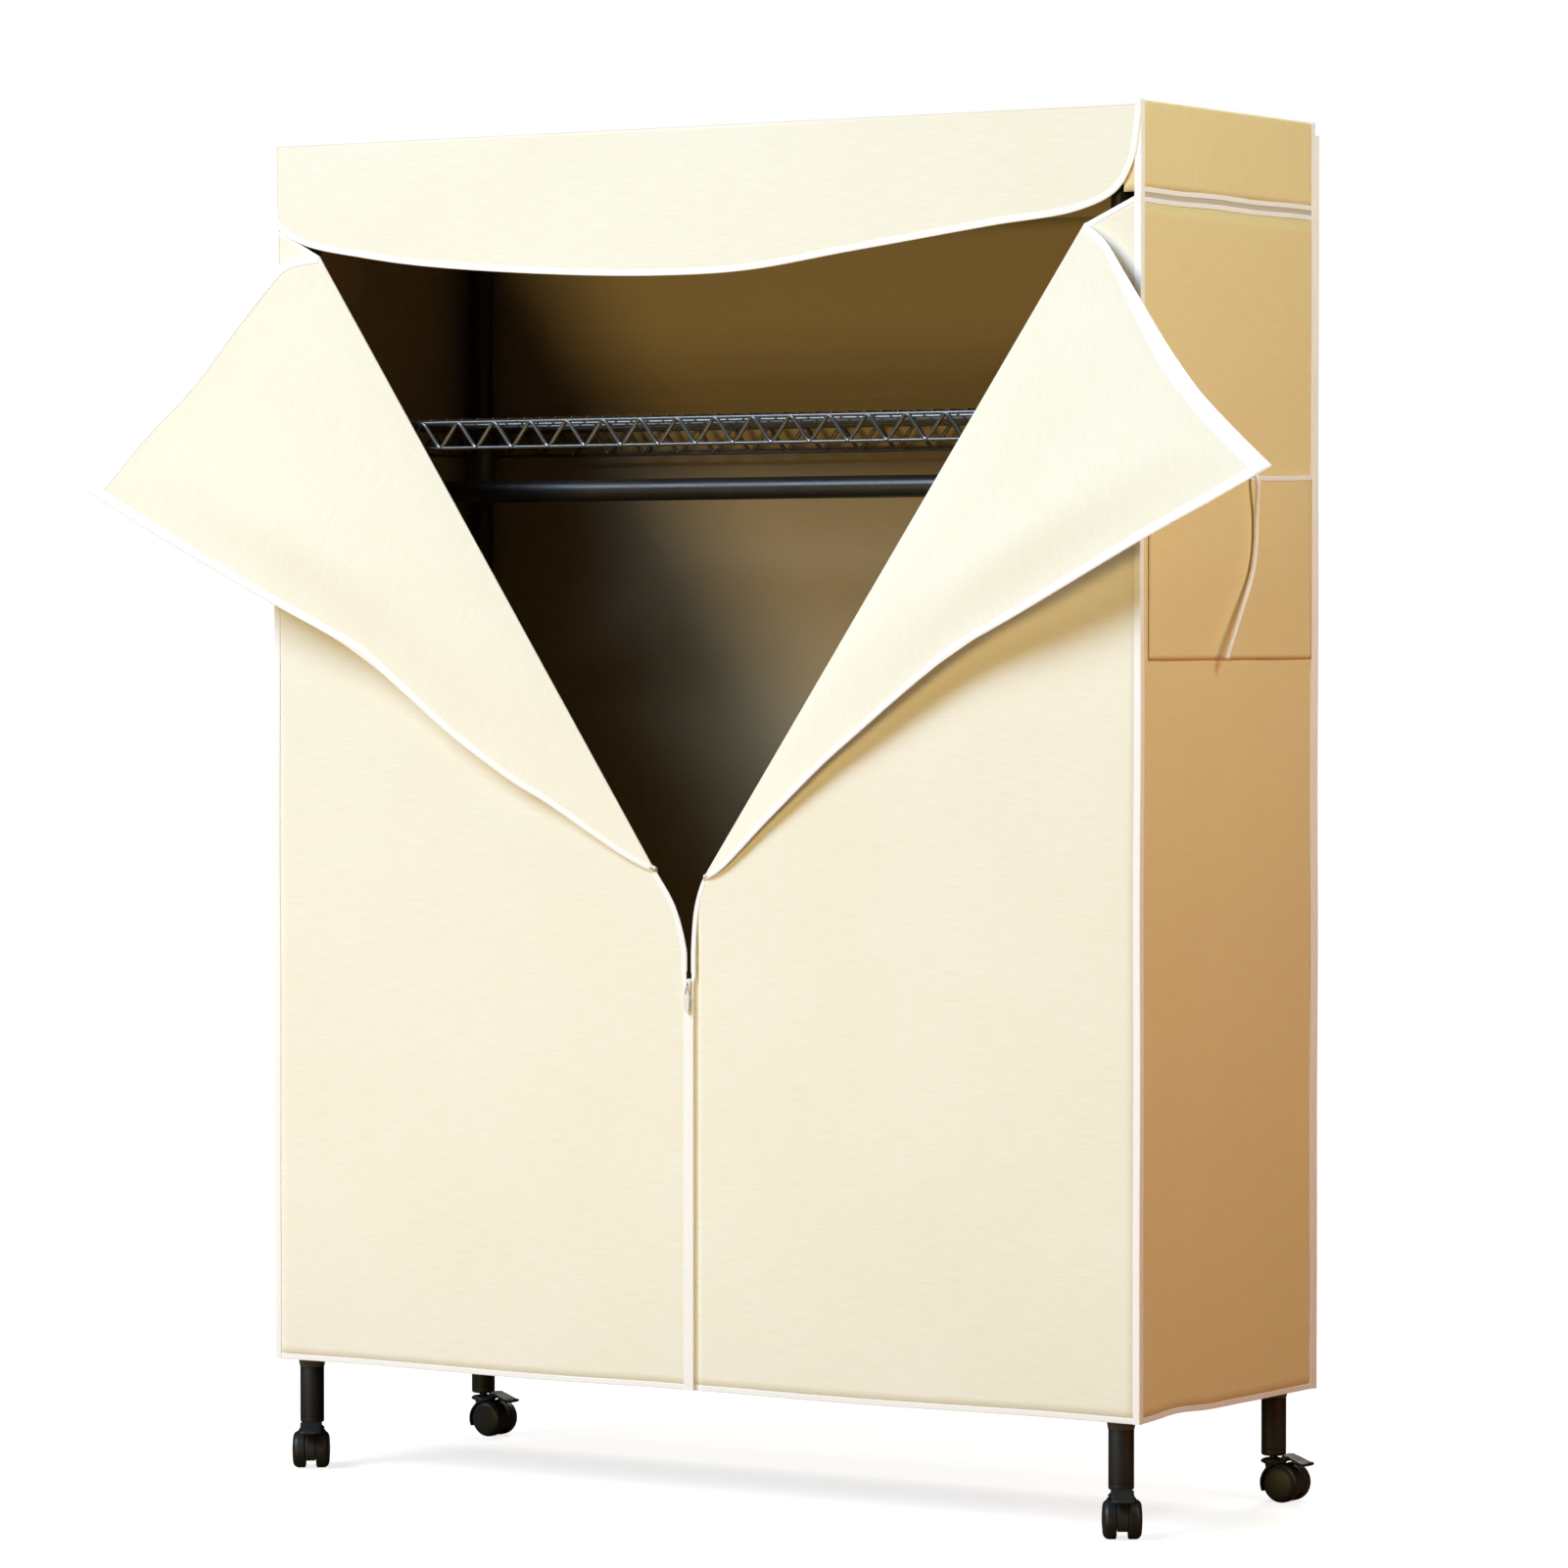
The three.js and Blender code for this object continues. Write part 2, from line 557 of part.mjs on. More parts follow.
for (const corner of corners) {
  const castor = new THREE.Group();
  castor.position.set(corner.x, corner.y, 0);
  castor.rotation.z = THREE.MathUtils.degToRad(corner.yaw);
  group.add(castor);
  addPiece(`castor_hood_${corner.name}`, hood, blackPlastic, castor);
  addPiece(`brake_pedal_${corner.name}`, pedal, blackPlastic, castor);
  addPiece(`castor_axle_${corner.name}`, axle, steel, castor);
  for (const [side, turn] of [['a', QUARTER_TURN], ['b', -QUARTER_TURN]]) {
    const disc = addPiece(`castor_wheel_${corner.name}_${side}`, wheel, wheelPlastic, castor);
    disc.position.set(CASTOR_TRAIL, -Math.sign(turn) * webInner, wheelRadius);
    disc.rotation.x = turn;
  }
}

// Cover: roof with its skirts, side bands, side and back panels
const innerHalfWidth = halfWidth - CLOTH;
const skirtBottom = TOTAL_HEIGHT - ROOF_SKIRT;
addPiece('cover_roof', joinAndCut(
  [box([-halfWidth, halfWidth], [panelFront, halfDepth], [skirtBottom, TOTAL_HEIGHT])],
  [box([-innerHalfWidth, innerHalfWidth], [panelFront - OVERRUN, halfDepth - CLOTH],
    [skirtBottom - OVERRUN, roofUnderside])],
), creamCloth);

const sideSpan = [panelFront, halfDepth];
const backHalfWidth = innerHalfWidth - SEAM_GAP;
addPiece('cover_back_panel', box([-backHalfWidth, backHalfWidth], [halfDepth - CLOTH, halfDepth],
  [HEM_HEIGHT, skirtBottom - SEAM_GAP]), creamCloth);

// The band's section: cloth with a raised binding along its top and its bottom
function bandSection(side) {
  const low = panelTop + SEAM_GAP;
  const high = skirtBottom - SEAM_GAP;
  const inner = side * innerHalfWidth;
  const outer = side * halfWidth;
  const raised = side * (halfWidth + BINDING_RAISE);
  return shapeOf([
    [inner, low], [raised, low], [raised, low + BINDING_WIDTH], [outer, low + BINDING_WIDTH],
    [outer, high - BINDING_WIDTH], [raised, high - BINDING_WIDTH], [raised, high], [inner, high],
  ]);
}

for (const [name, side] of [['left', -1], ['right', 1]]) {
  const ends = [side * innerHalfWidth, side * halfWidth].sort((a, b) => a - b);
  addPiece(`cover_${name}_panel`, box(ends, sideSpan, [HEM_HEIGHT, panelTop]), creamCloth);
  addPiece(`cover_${name}_band`, alongY(bandSection(side), panelFront, halfDepth - panelFront), whiteTape);
}

// Valance, hanging free from the roof's front edge
const valanceCurve = smoothCurve(valanceEdgeShares.map(
  ([x, z]) => new THREE.Vector3(x * halfWidth, z * TOTAL_HEIGHT, 0),
));
const valanceTop = TOTAL_HEIGHT - SEAM_GAP;
const valanceOutline = [[halfWidth, valanceTop], [-halfWidth, valanceTop]];
for (const point of valanceCurve.getSpacedPoints(EDGE_STEPS)) valanceOutline.push([point.x, point.y]);
addPiece('valance', alongY(shapeOf(valanceOutline), -halfDepth, CLOTH), creamCloth);

// Front panels, with the open edge along the zip, round the slit and up the fold
const zipEdge = ZIP_TAPE_WIDTH / 2 + SEAM_GAP;
const place = ([x, z]) => [x * halfWidth, z * TOTAL_HEIGHT];

function frontPanel(sideName, side) {
  const { fold, bend } = flapShares[sideName];
  const outer = side * backHalfWidth;
  return alongY(shapeOf([
    [outer, HEM_HEIGHT], [side * zipEdge, HEM_HEIGHT], [side * zipEdge, SLIT_TOP_HEIGHT],
    place(bend), place(fold[1]), place(fold[0]), [outer, panelTop],
  ]), panelFront, CLOTH);
}

// Flaps: each a soft-edged patch about a plane that leaves the front panel at the fold
function flap(sideName, side) {
  const shares = flapShares[sideName];
  const foldY = panelFront - TOUCH_GAP - CLOTH / 2;
  const [top, end] = shares.fold.map(place).map(([x, z]) => new THREE.Vector3(x, foldY, z));
  const along = end.clone().sub(top);
  const length = along.length();
  along.normalize();
  const lift = Math.asin(FLAP_STAND_OFF / FLAP_REACH);
  const flat = new THREE.Vector3(side * Math.abs(along.z), 0, -Math.abs(along.x));
  const out = flat.multiplyScalar(Math.cos(lift)).add(new THREE.Vector3(0, -Math.sin(lift), 0));
  const away = new THREE.Vector3().crossVectors(along, out).normalize();
  if (away.y > 0) away.negate();
  const onPlane = ([a, b]) => top.clone().addScaledVector(along, a * length)
    .addScaledVector(out, FOLD_CLEARANCE + b * (FLAP_REACH - FOLD_CLEARANCE));
  const upper = smoothCurve(shares.upper.map(onPlane));
  const outer = smoothCurve(shares.outer.map(onPlane));
  const lower = smoothCurve(shares.lower.map(onPlane));
  const [a, b] = [onPlane([0, 0]), onPlane([1, 0])];
  const grid = [];
  for (let i = 0; i <= FLAP_STEPS; i += 1) {
    const u = i / FLAP_STEPS;
    const row = [];
    for (let j = 0; j <= FLAP_STEPS; j += 1) {
      const v = j / FLAP_STEPS;
      const point = a.clone().lerp(b, u).multiplyScalar(1 - v).addScaledVector(outer.getPointAt(u), v);
      point.addScaledVector(upper.getPointAt(v), 1 - u).addScaledVector(lower.getPointAt(v), u);
      point.addScaledVector(a, -(1 - u) * (1 - v)).addScaledVector(b, -u * (1 - v));
      point.addScaledVector(outer.getPointAt(0), -(1 - u) * v).addScaledVector(outer.getPointAt(1), -u * v);
      point.addScaledVector(away, FLAP_BULGE * Math.sin(Math.PI * u) * Math.sin(Math.PI * v));
      row.push(point);
    }
    grid.push(row);
  }
  return sheet(grid, CLOTH);
}

for (const [name, side] of [['left', -1], ['right', 1]]) {
  addPiece(`front_${name}_panel`, frontPanel(name, side), creamCloth);
  addPiece(`${name}_flap`, flap(name, side), creamCloth);
}

// Zip: the closed tape with its chain, the slider saddled on the chain, and the pull
const tapeBack = panelFront + CLOTH / 2;
const tapeFront = tapeBack - ZIP_TAPE_THICKNESS;
const chainFront = tapeFront - ZIP_CHAIN_HEIGHT;
const tapeTop = SLIDER_TOP_HEIGHT - TOUCH_GAP;
addPiece('zip_tape', joinAndCut([
  box([-ZIP_TAPE_WIDTH / 2, ZIP_TAPE_WIDTH / 2], [tapeFront, tapeBack], [HEM_HEIGHT, tapeTop]),
  box([-ZIP_CHAIN_WIDTH / 2, ZIP_CHAIN_WIDTH / 2], [chainFront, tapeBack], [HEM_HEIGHT, tapeTop]),
]), whiteTape);

const sliderBack = tapeFront - TOUCH_GAP;
const sliderFront = chainFront - TOUCH_GAP - SLIDER_PLATE;
const sliderBottom = SLIDER_TOP_HEIGHT - SLIDER_LENGTH;
const saddleHalf = ZIP_CHAIN_WIDTH / 2 + TOUCH_GAP;
const bridgeTop = SLIDER_TOP_HEIGHT - (SLIDER_LENGTH - SLIDER_BRIDGE_LENGTH) / 2;
const bridgeBottom = bridgeTop - SLIDER_BRIDGE_LENGTH;
const bridgeFront = sliderFront - SLIDER_BRIDGE_HEIGHT;
const bridgeSpan = [-SLIDER_BRIDGE_WIDTH / 2, SLIDER_BRIDGE_WIDTH / 2];
addPiece('zip_slider', joinAndCut([
  box([-SLIDER_WIDTH / 2, SLIDER_WIDTH / 2], [sliderFront, sliderBack], [sliderBottom, SLIDER_TOP_HEIGHT]),
  box(bridgeSpan, [bridgeFront, sliderFront + TOUCH_GAP], [bridgeBottom, bridgeTop]),
], [
  box([-saddleHalf, saddleHalf], [chainFront - TOUCH_GAP, sliderBack + OVERRUN],
    [sliderBottom - OVERRUN, SLIDER_TOP_HEIGHT + OVERRUN]),
  box([-SLIDER_WIDTH, SLIDER_WIDTH], [bridgeFront + SLIDER_BRIDGE_WALL, sliderFront],
    [bridgeBottom + SLIDER_BRIDGE_WALL, bridgeTop - SLIDER_BRIDGE_WALL]),
]), zipEnamel);

// The pull hangs with its top bar resting in the bridge's lower inside corner
const pullBarHeight = bridgeBottom + SLIDER_BRIDGE_WALL + TOUCH_GAP + PULL_BAR / 2;
const pullBarY = bridgeFront + SLIDER_BRIDGE_WALL + TOUCH_GAP + PULL_BAR / 2;
const pullTop = pullBarHeight + PULL_BAR / 2;
const pullSpan = [pullBarY - PULL_THICKNESS / 2, pullBarY + PULL_THICKNESS / 2];
const eyeHalf = SLIDER_BRIDGE_WIDTH / 2 + TOUCH_GAP;
addPiece('zip_pull', joinAndCut([
  box([-PULL_WIDTH / 2, PULL_WIDTH / 2], pullSpan, [pullTop - PULL_LENGTH, pullTop]),
], [
  box([-eyeHalf, eyeHalf], [pullSpan[0] - OVERRUN, pullSpan[1] + OVERRUN],
    [pullTop - PULL_BAR - PULL_EYE_LENGTH, pullTop - PULL_BAR]),
]), zipEnamel);

// Pocket on the right side panel, its top binding and the tie that hangs over it
const pocketSpan = [POCKET_SHIFT - POCKET_WIDTH / 2, POCKET_SHIFT + POCKET_WIDTH / 2];
const pocketBottom = POCKET_TOP_HEIGHT - POCKET_HEIGHT;
addPiece('side_pocket', joinAndCut(
  [box([pocketInnerFace, pocketFace], pocketSpan, [pocketBottom, POCKET_TOP_HEIGHT])],
  [box([pocketInnerFace - OVERRUN, pocketFace - CLOTH], [pocketSpan[0] + CLOTH, pocketSpan[1] - CLOTH],
    [pocketBottom + CLOTH, POCKET_TOP_HEIGHT + OVERRUN])],
), creamCloth);
addPiece('pocket_binding', box(
  [pocketFace + TOUCH_GAP, pocketFace + TOUCH_GAP + POCKET_BINDING_THICKNESS],
  pocketSpan,
  [POCKET_TOP_HEIGHT - POCKET_BINDING_HEIGHT, POCKET_TOP_HEIGHT],
), whiteTape);

const tieSection = new THREE.Shape(Array.from({ length: TIE_SIDES }, (_, k) => {
  const angle = 2 * Math.PI * k / TIE_SIDES;
  return new THREE.Vector2(TIE_DIAMETER / 2 * Math.cos(angle), TIE_DIAMETER / 2 * Math.sin(angle));
}));
const tieCurve = smoothCurve(tieRoute.map((point) => new THREE.Vector3(...point)));
addPiece('pocket_tie', closedBody(new THREE.ExtrudeGeometry(tieSection, {
  steps: TIE_STEPS, extrudePath: tieCurve,
})), whiteTape);

// The origin is the middle of the whole model's footprint, on the floor
const extent = new THREE.Box3().setFromObject(group);
const middle = extent.getCenter(new THREE.Vector3());
group.position.set(-middle.x, -middle.y, -extent.min.z);

export default group;
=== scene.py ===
# The finish of a portable fabric wardrobe: a rack of round wires and tubes on castors,
# inside a linen-look cover with white bindings and a zip.
# Metres, +Z up, +X to the viewer's right, the front faces -Y.

import math

import bmesh
import bpy
import numpy as np
from mathutils import Euler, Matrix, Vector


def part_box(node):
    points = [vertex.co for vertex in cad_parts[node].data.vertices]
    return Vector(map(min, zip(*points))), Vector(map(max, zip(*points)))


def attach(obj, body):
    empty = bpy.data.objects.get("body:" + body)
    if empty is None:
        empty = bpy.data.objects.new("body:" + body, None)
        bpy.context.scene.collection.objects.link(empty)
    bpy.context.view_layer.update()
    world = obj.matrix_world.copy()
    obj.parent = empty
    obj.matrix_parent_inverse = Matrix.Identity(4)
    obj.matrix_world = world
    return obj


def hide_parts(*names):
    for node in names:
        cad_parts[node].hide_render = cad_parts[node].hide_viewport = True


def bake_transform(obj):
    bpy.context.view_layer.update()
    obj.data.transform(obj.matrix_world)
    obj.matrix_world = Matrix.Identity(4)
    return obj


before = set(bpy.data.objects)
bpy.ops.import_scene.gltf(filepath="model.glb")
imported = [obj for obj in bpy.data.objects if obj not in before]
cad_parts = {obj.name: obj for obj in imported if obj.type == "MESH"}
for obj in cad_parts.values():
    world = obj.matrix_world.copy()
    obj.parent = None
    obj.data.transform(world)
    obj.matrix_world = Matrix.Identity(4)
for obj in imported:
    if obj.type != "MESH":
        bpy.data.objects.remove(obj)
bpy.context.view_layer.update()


def low(node):
    return np.array(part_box(node)[0])


def high(node):
    return np.array(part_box(node)[1])


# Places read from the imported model
LEFT_X, FRONT_Y, SKIRT_Z = low("cover_roof")
RIGHT_X, BACK_Y, TOP_Z = high("cover_roof")
HEM_Z = low("cover_right_panel")[2]
PANEL_TOP_Z = high("cover_right_panel")[2]
MID_X = (LEFT_X + RIGHT_X) / 2
POSTS = {
    corner: (low(f"post_foot_{corner}") + high(f"post_foot_{corner}")) / 2
    for corner in ("front_left", "front_right", "back_left", "back_right")
}
MID_Y = (POSTS["front_left"][1] + POSTS["back_left"][1]) / 2
POST_X = POSTS["front_right"][0] - MID_X
POST_Y = POSTS["back_right"][1] - MID_Y
SIDES = {"left": -1, "right": 1}

# Points closer than this become one: of a solid, and of a cloth
SAME_POINT = 1e-7
SEWN_POINT = 1e-6

# Camera
CAMERA_PLACE = (4.6310, -7.1507, 1.1470)
CAMERA_TURN_DEG = 32.736
CAMERA_TILT_DEG = -1.428
LENS_MM = 147.54
SENSOR_MM = 36.0
VIEW_DEPTH = 60

# Studio
FLOOR_HALF = 6.0
FLOOR_GLOW = 0.80
FLOOR_GREY = (0.42, 0.41, 0.40)
FLOOR_BOUNCE = (0.20, 0.13, 0.08)
FLOOR_FADE = (1.6, 4.5)
AMBIENT = 0.05
AMBIENT_COLOUR = (1.0, 0.62, 0.36)
WHITE_LIGHT = (1, 1, 1, 1)

# Each lamp's place, aim, width and height, watts and colour
LAMPS = {
    "key_lamp": ((-4.2, -7.3, 7.6), (0, 0, 0.9), (5.0, 5.0), 1200, (0.755, 0.935, 1.17)),
    "fill_lamp": ((-0.6, -5.5, 0.3), (0, 0, 0.5), (2.4, 1.2), 128, (1.0, 0.74, 0.30)),
    "side_lamp": ((2.3, -0.25, 2.6), (0.675, 0, 1.3), (0.9, 0.9), 30, (0.61, 0.83, 0.77)),
    "middle_side_lamp": ((3.2, -0.30, 1.2), (0.675, 0, 1.1), (0.8, 0.8), 30, (0.84, 0.325, 0.15)),
    "back_lamp": ((-1.0, 5.8, 6.0), (0, 0, 0.9), (2.4, 2.4), 330, (1.0, 0.96, 0.9)),
}

# Rack
TUBE_RADIUS = 0.015
TUBE_WALL = 0.0011
TUBE_BORE = TUBE_RADIUS - TUBE_WALL
TUBE_EDGE = 0.0004
ROD_EDGE = 0.0003
FIT = 0.0003
TIGHT_FIT = 0.0002
LEG_RADIUS = 0.0163
LEG_STEP = 0.002
LEG_TUCK = 0.001
FOOT_ROUNDING = 0.003
FOOT_SOCKET_ROOM = 0.0004
CAP_DOME = 0.0018
CAP_RIM = 0.004
CAP_DOME_TURN = 1.5
CAP_POLE = 0.002
RIM_WIRE = 0.0026
LOW_RIM_SHARE = 0.92
RIM_BELOW_COLLAR = 0.002
MAT_WIRE = 0.0015
MAT_SEAT = 0.7
WIRE_TUCK = 0.001
STAY_WIRE = 0.0022
STAY_SHARES = (-0.5, 0, 0.5)
ZIGZAG_WIRE = 0.0028
ZIGZAG_SHARPNESS = 0.975
ZIGZAG_PITCH = 0.05867
ZIGZAG_VALLEY_X = -0.0058
ZIGZAG_STEPS = 32
MAT_PITCH = 0.0254
TRUSS_HEIGHT = 0.036
COLLAR_RADIUS = 0.0215
COLLAR_REACH = 0.038
COLLAR_RISE = 0.0035
# The collar's foot past its bore: its lip, its shoulder and how high that lies
COLLAR_FOOT = (0.0012, 0.0018, 0.0007)
COLLAR_STEP = 0.0008
COLLAR_EDGE = 0.001
COLLAR_DROP = 0.002
BOTTOM_COLLAR_TRIM = 0.009
ROD_CUP_LENGTH = 0.018
ROD_CUP_WALL = 0.0038
ROD_CUP_BEVELS = (0.0008, 0.001)
STRAP_SECTION = (0.0017, 0.010)
STRAP_BEND = 0.004
STRAP_INSET = 0.002
STRAP_CREST = 0.0007
STRAP_HOOK = 0.009

# Castors, drawn about the swivel axis with the wheels trailing towards +X
WHEEL_RADIUS = 0.025
WHEEL_WIDTH = 0.018
WHEEL_GAP = 0.015
WHEEL_SHOULDER = 0.0078
WHEEL_EDGE = 0.0012
WHEEL_BORE = (0.0034, 0.0125)
WHEEL_CAP_RADIUS = 0.0160
WHEEL_CAP_DOME = 0.0012
WHEEL_CAP_STAND = 0.001
WHEEL_GROOVE = ((0.0182, 0.0012), (0.0178, 0.0020), (0.0173, 0.0020))
POLE = 0.001
CASTOR_TRAIL = 0.020
FENDER_RADIUS = 0.0285
FENDER_HALF_WIDTH = 0.0238
FENDER_TOP_HALF_WIDTH = 0.0165
FENDER_HALF_THICKNESS = 0.002
FENDER_CROWN = 0.0030
FENDER_SINK = 0.0014
FENDER_WIDENING = 1.5
FENDER_SWELL = 0.3
FENDER_SWELL_TURN = 1.5
FENDER_ANGLES_DEG = (86.0, 203.0)
WEB_ANGLES_DEG = (-34, 212)
WEB_INSET = 0.0007
WEB_SIDE_ROOM = 0.0005
WEB_NOTCH = (0.0135, 0.003)
WEB_NOTCH_Z = 0.0112
HOOD_TOP = 0.0555
BOSS_RADIUS = 0.010
BOSS_SHOULDER = (
    (0.0112, 0.0075), (0.0166, 0.005), (0.0170, 0.0035), (0.0160, 0.0015), (0.0130, 0.0),
)
STEM_RADIUS = 0.0055
STEM_REACH = 0.025
STEM_FILLET = 0.0008
STEM_TIP = 0.001
FOOT_BOTTOM = 0.0595
PEDAL_PIVOT = (0.022, 0.0578)
PEDAL_REACH = 0.033
PEDAL_ROOT = 0.003
PEDAL_RISE = 0.0024
PEDAL_DROP = 0.010
PEDAL_LIP = 0.0012
PEDAL_LIP_FROM = 0.85
PEDAL_DROP_PACE = 1.05
PEDAL_TIP_FROM = 0.86
PEDAL_TIP_SPAN = 0.16
PEDAL_TIP_POWER = 2.2
PEDAL_GROWN_AT = 0.6
PEDAL_HALF_WIDTHS = (0.0125, 0.0025)
PEDAL_HALF_THICKNESS = 0.0023
GRIP_SHARES = (0.55, 0.68, 0.81)
GRIP_HALF_LENGTH = 0.011
GRIP_SECTION = (0.0012, 0.0009)
GRIP_RISE = 0.0016
BARREL_RADII = (0.0034, 0.004)
BARREL_ENDS = (0.0148, 0.0142)
MELT_SIZE = 0.0008
MELT_SMOOTHING = 4
CASTOR_YAW_DEG = {"front_left": -57.0, "front_right": -57.0, "back_left": 0.0, "back_right": 0.0}

# Cover. EDGE_TAPE, SEAM_TAPE, BAND_TAPE and MOUTH_TAPE are a binding's width, its thickness and,
# where a third is given, how far it reaches past the cloth's edge
CLOTH = 0.0009
FOLD_RADIUS = 0.0010
FOLD_ROWS = 72
DOOR_INSET = 0.0006
CORNER_INSET = 0.0016
BINDING_THICKNESS = 0.0018
BINDING_OVERHANG = 0.0007
HEM_WIDTH = 0.0075
HEM_WAVE = 0.0016
HEM_TUCK = 0.0005
HEM_WAVE_REACH = 0.1
SIDE_HEM_LIFT = 0.0045
SIDE_LIFT_AT = 0.22
SIDE_LIFT_SPREAD = 0.13
SIDE_INSET = 0.0006
SIDE_HOLLOW = 0.0016
SEAM_INSET = 0.0015
SEAM_TAPE = (0.0066, 0.0022, 0.0033)
BAND_TAPE = (0.0064, 0.0020, 0.0032)
BAND_RIPPLE = 0.0006
BAND_RIPPLE_PITCH = 0.21
BAND_SINK = 0.0004
BAND_EDGE = 0.0022
BACK_INSET = 0.0012
BACK_HOLLOW = 0.0011
BACK_PLEATS = 0.0007
BACK_PLEAT_COUNT = 5.2
STITCH_PITCH = 0.0032
DOOR_HOLLOW = 0.0009
SWAY_PITCH = 0.31
SWAY_DEPTH = 0.0011
CROSS_PITCH = 0.83
CROSS_DEPTH = 0.0006
ZIP_EDGE = 0.0050
SLIT_TOP_Z = 0.737
SLIDER_TOP_Z = 0.684
SLIT_CALM = 0.12
ZIP_CALM = 0.03
RIDGE_GAP = 0.0064
RIDGE_SPREAD = 0.0036
RIDGE_END = 0.05
RIDGE_FADE = 0.08
BEND_DROP = 0.02
BEND_LEAD = 0.05
FLAP_REACH = 0.448
FLAP_STAND_OFF = 0.101
FLAP_BULGE = 0.006
FLAP_RIPPLE = 0.0016
FLAP_COLUMNS = 46
FLAP_BINDING = 0.0023
FLAP_BINDING_PACE = 1.9
FLAP_BINDING_CUT = 0.12
ROLL_HEIGHT = 0.005
ROLL_SPREAD = 0.022
CALM_RIM = 0.10
TURN_OVER = 0.0016
FINE_REACH = 0.03
CALM_REACH = 0.028
CALM_ROUNDS = 12
TAPE_CHANGE = (0.02, 0.05)
PARTING_RISE = 0.004
PARTING_LENGTH = 0.012
TIP_SLANT = 0.02
CLOSED_TAPE = 0.0030
# The open zip tape's width just past the fold, at the flap's corner and at its tip
FLAP_TAPE = (0.0066, 0.0088, 0.0130)
TAPE_OVERHANG = 0.0009
CORNER_LIFT = 0.010
CORNER_LEG = 0.0085
CORNER_TAPE = 0.0016
CORNER_ROUNDING = 0.0012
# How far the end of a corner leg swells low and high, and the bevel at its top
CORNER_END = (0.0004, 0.0003, 0.0005)
CORNER_TOP_GAP = 0.001
CORNER_SWAY = 0.0005
CORNER_SWAY_PITCH = 0.47
CORNER_FLANGE = 0.0062
FLANGE_THICKNESS = 0.0020
ROOF_EDGE = 0.005
ROOF_FRONT_INSET = 0.001
ROOF_RETURN = 0.024
ROOF_SAG = (0.0008, 0.0006)
VALANCE_STAND_OFF = 0.0014
VALANCE_BILLOW = 0.0045
VALANCE_RIPPLE = 0.0008
VALANCE_PITCHES = (0.43, 0.19)
VALANCE_DROP = 0.2
VALANCE_TOP_GAP = 0.002
VALANCE_END = 0.004
VALANCE_OVERHANG = 0.0008
EDGE_TAPE = (0.0085, 0.0026)
HEAD_INSET = 0.001
HEAD_OVERHANG = 0.0004
MOUTH_TAPE = (0.0072, 0.0026)
POCKET_SWELL = 0.0108
POCKET_GAP = 0.0010
POCKET_SAG = 0.004

# Zip
CHAIN_PITCH = 0.0016
TOOTH_SECTION = ((-1, -0.6), (-0.8, 0.7), (0.8, 0.7), (1, -0.6))
TOOTH_SHARE = 0.38
OPEN_TEETH = (0.0011, 0.0008)
CLOSED_TEETH = (0.0026, 0.0010)
BAND_HALF_WIDTH = 0.0072
BAND_HALF_THICKNESS = 0.0008
BAND_AHEAD = 0.0005
TEETH_BEHIND = 0.0015
SLIDER_HALF_LENGTH = 0.0099
# The slider's half width at its foot, its growth towards the top, and its waist
SLIDER_HALF_WIDTHS = (0.0036, 0.0013, 0.0003)
SLIDER_HALF_THICKNESS = 0.0009
SLIDER_SINK = 0.0033
RAIL_SECTION = (0.0006, 0.0009)
RAIL_X = 0.0033
RAIL_SINK = 0.0024
BAIL_HEIGHT = 0.0046
BAIL_LIFT = 0.0002
BAIL_HALF_LENGTH = 0.006
BAIL_SECTION = (0.0014, 0.0007)
PULL_HALF_WIDTH = 0.0039
PULL_HOLE = (0.0018, 0.0036)
PULL_HOLE_DEPTH = 0.0055
PULL_TIP_HOLE = 0.0012
PULL_TIP_HOLE_RISE = 0.004
PULL_EXTRUDE = 0.00045
PULL_BEVEL = 0.00018

# Each door's fold as its two ends in X and Z, the bend below it, and the free outline of its
# flap as shares of the fold's length and of the flap's reach
DOORS = {
    "left": {
        "fold": ((-0.598795, 1.64268), (-0.052923, 0.82296)),
        "bend": (-0.0226, 0.7771),
        "upper": (
            (0, 0), (-0.0177, 0.0835), (-0.0206, 0.125), (-0.0162, 0.175), (0.0075, 0.375),
            (0.036, 0.5685), (0.0564, 0.772), (0.088, 1),
        ),
        "outer": (
            (0.088, 1), (0.1876, 0.8851), (0.2999, 0.7472), (0.3731, 0.6543), (0.4442, 0.5605),
            (0.5091, 0.4758),
        ),
        "lower": (
            (1, 0), (0.9619, 0.0521), (0.9009, 0.1189), (0.8384, 0.1847), (0.7789, 0.2552),
            (0.675, 0.3532), (0.6082, 0.4036), (0.5091, 0.4758),
        ),
        "band": (0.010, 0.020),
        "slit": 0.0075,
        "beside_zip": 0.0,
    },
    "right": {
        "fold": ((0.596292, 1.64736), (0.023825, 0.81432)),
        "bend": (0.0109, 0.7771),
        "upper": (
            (0, 0), (0.0008, 0.096), (0.0135, 0.205), (0.0273, 0.317), (0.0504, 0.509),
            (0.0637, 0.662), (0.0695, 0.819), (0.0733, 1),
        ),
        "outer": (
            (0.0733, 1), (0.151, 0.8925), (0.2463, 0.7559), (0.3749, 0.5837), (0.4476, 0.4863),
            (0.5268, 0.3741),
        ),
        "lower": (
            (1, 0), (0.975, 0.033), (0.882, 0.0904), (0.765, 0.1676), (0.7104, 0.2123),
            (0.6213, 0.2878), (0.5268, 0.3741),
        ),
        "band": (0.008, 0.024),
        "slit": 0.0060,
        "beside_zip": 0.0060,
    },
}

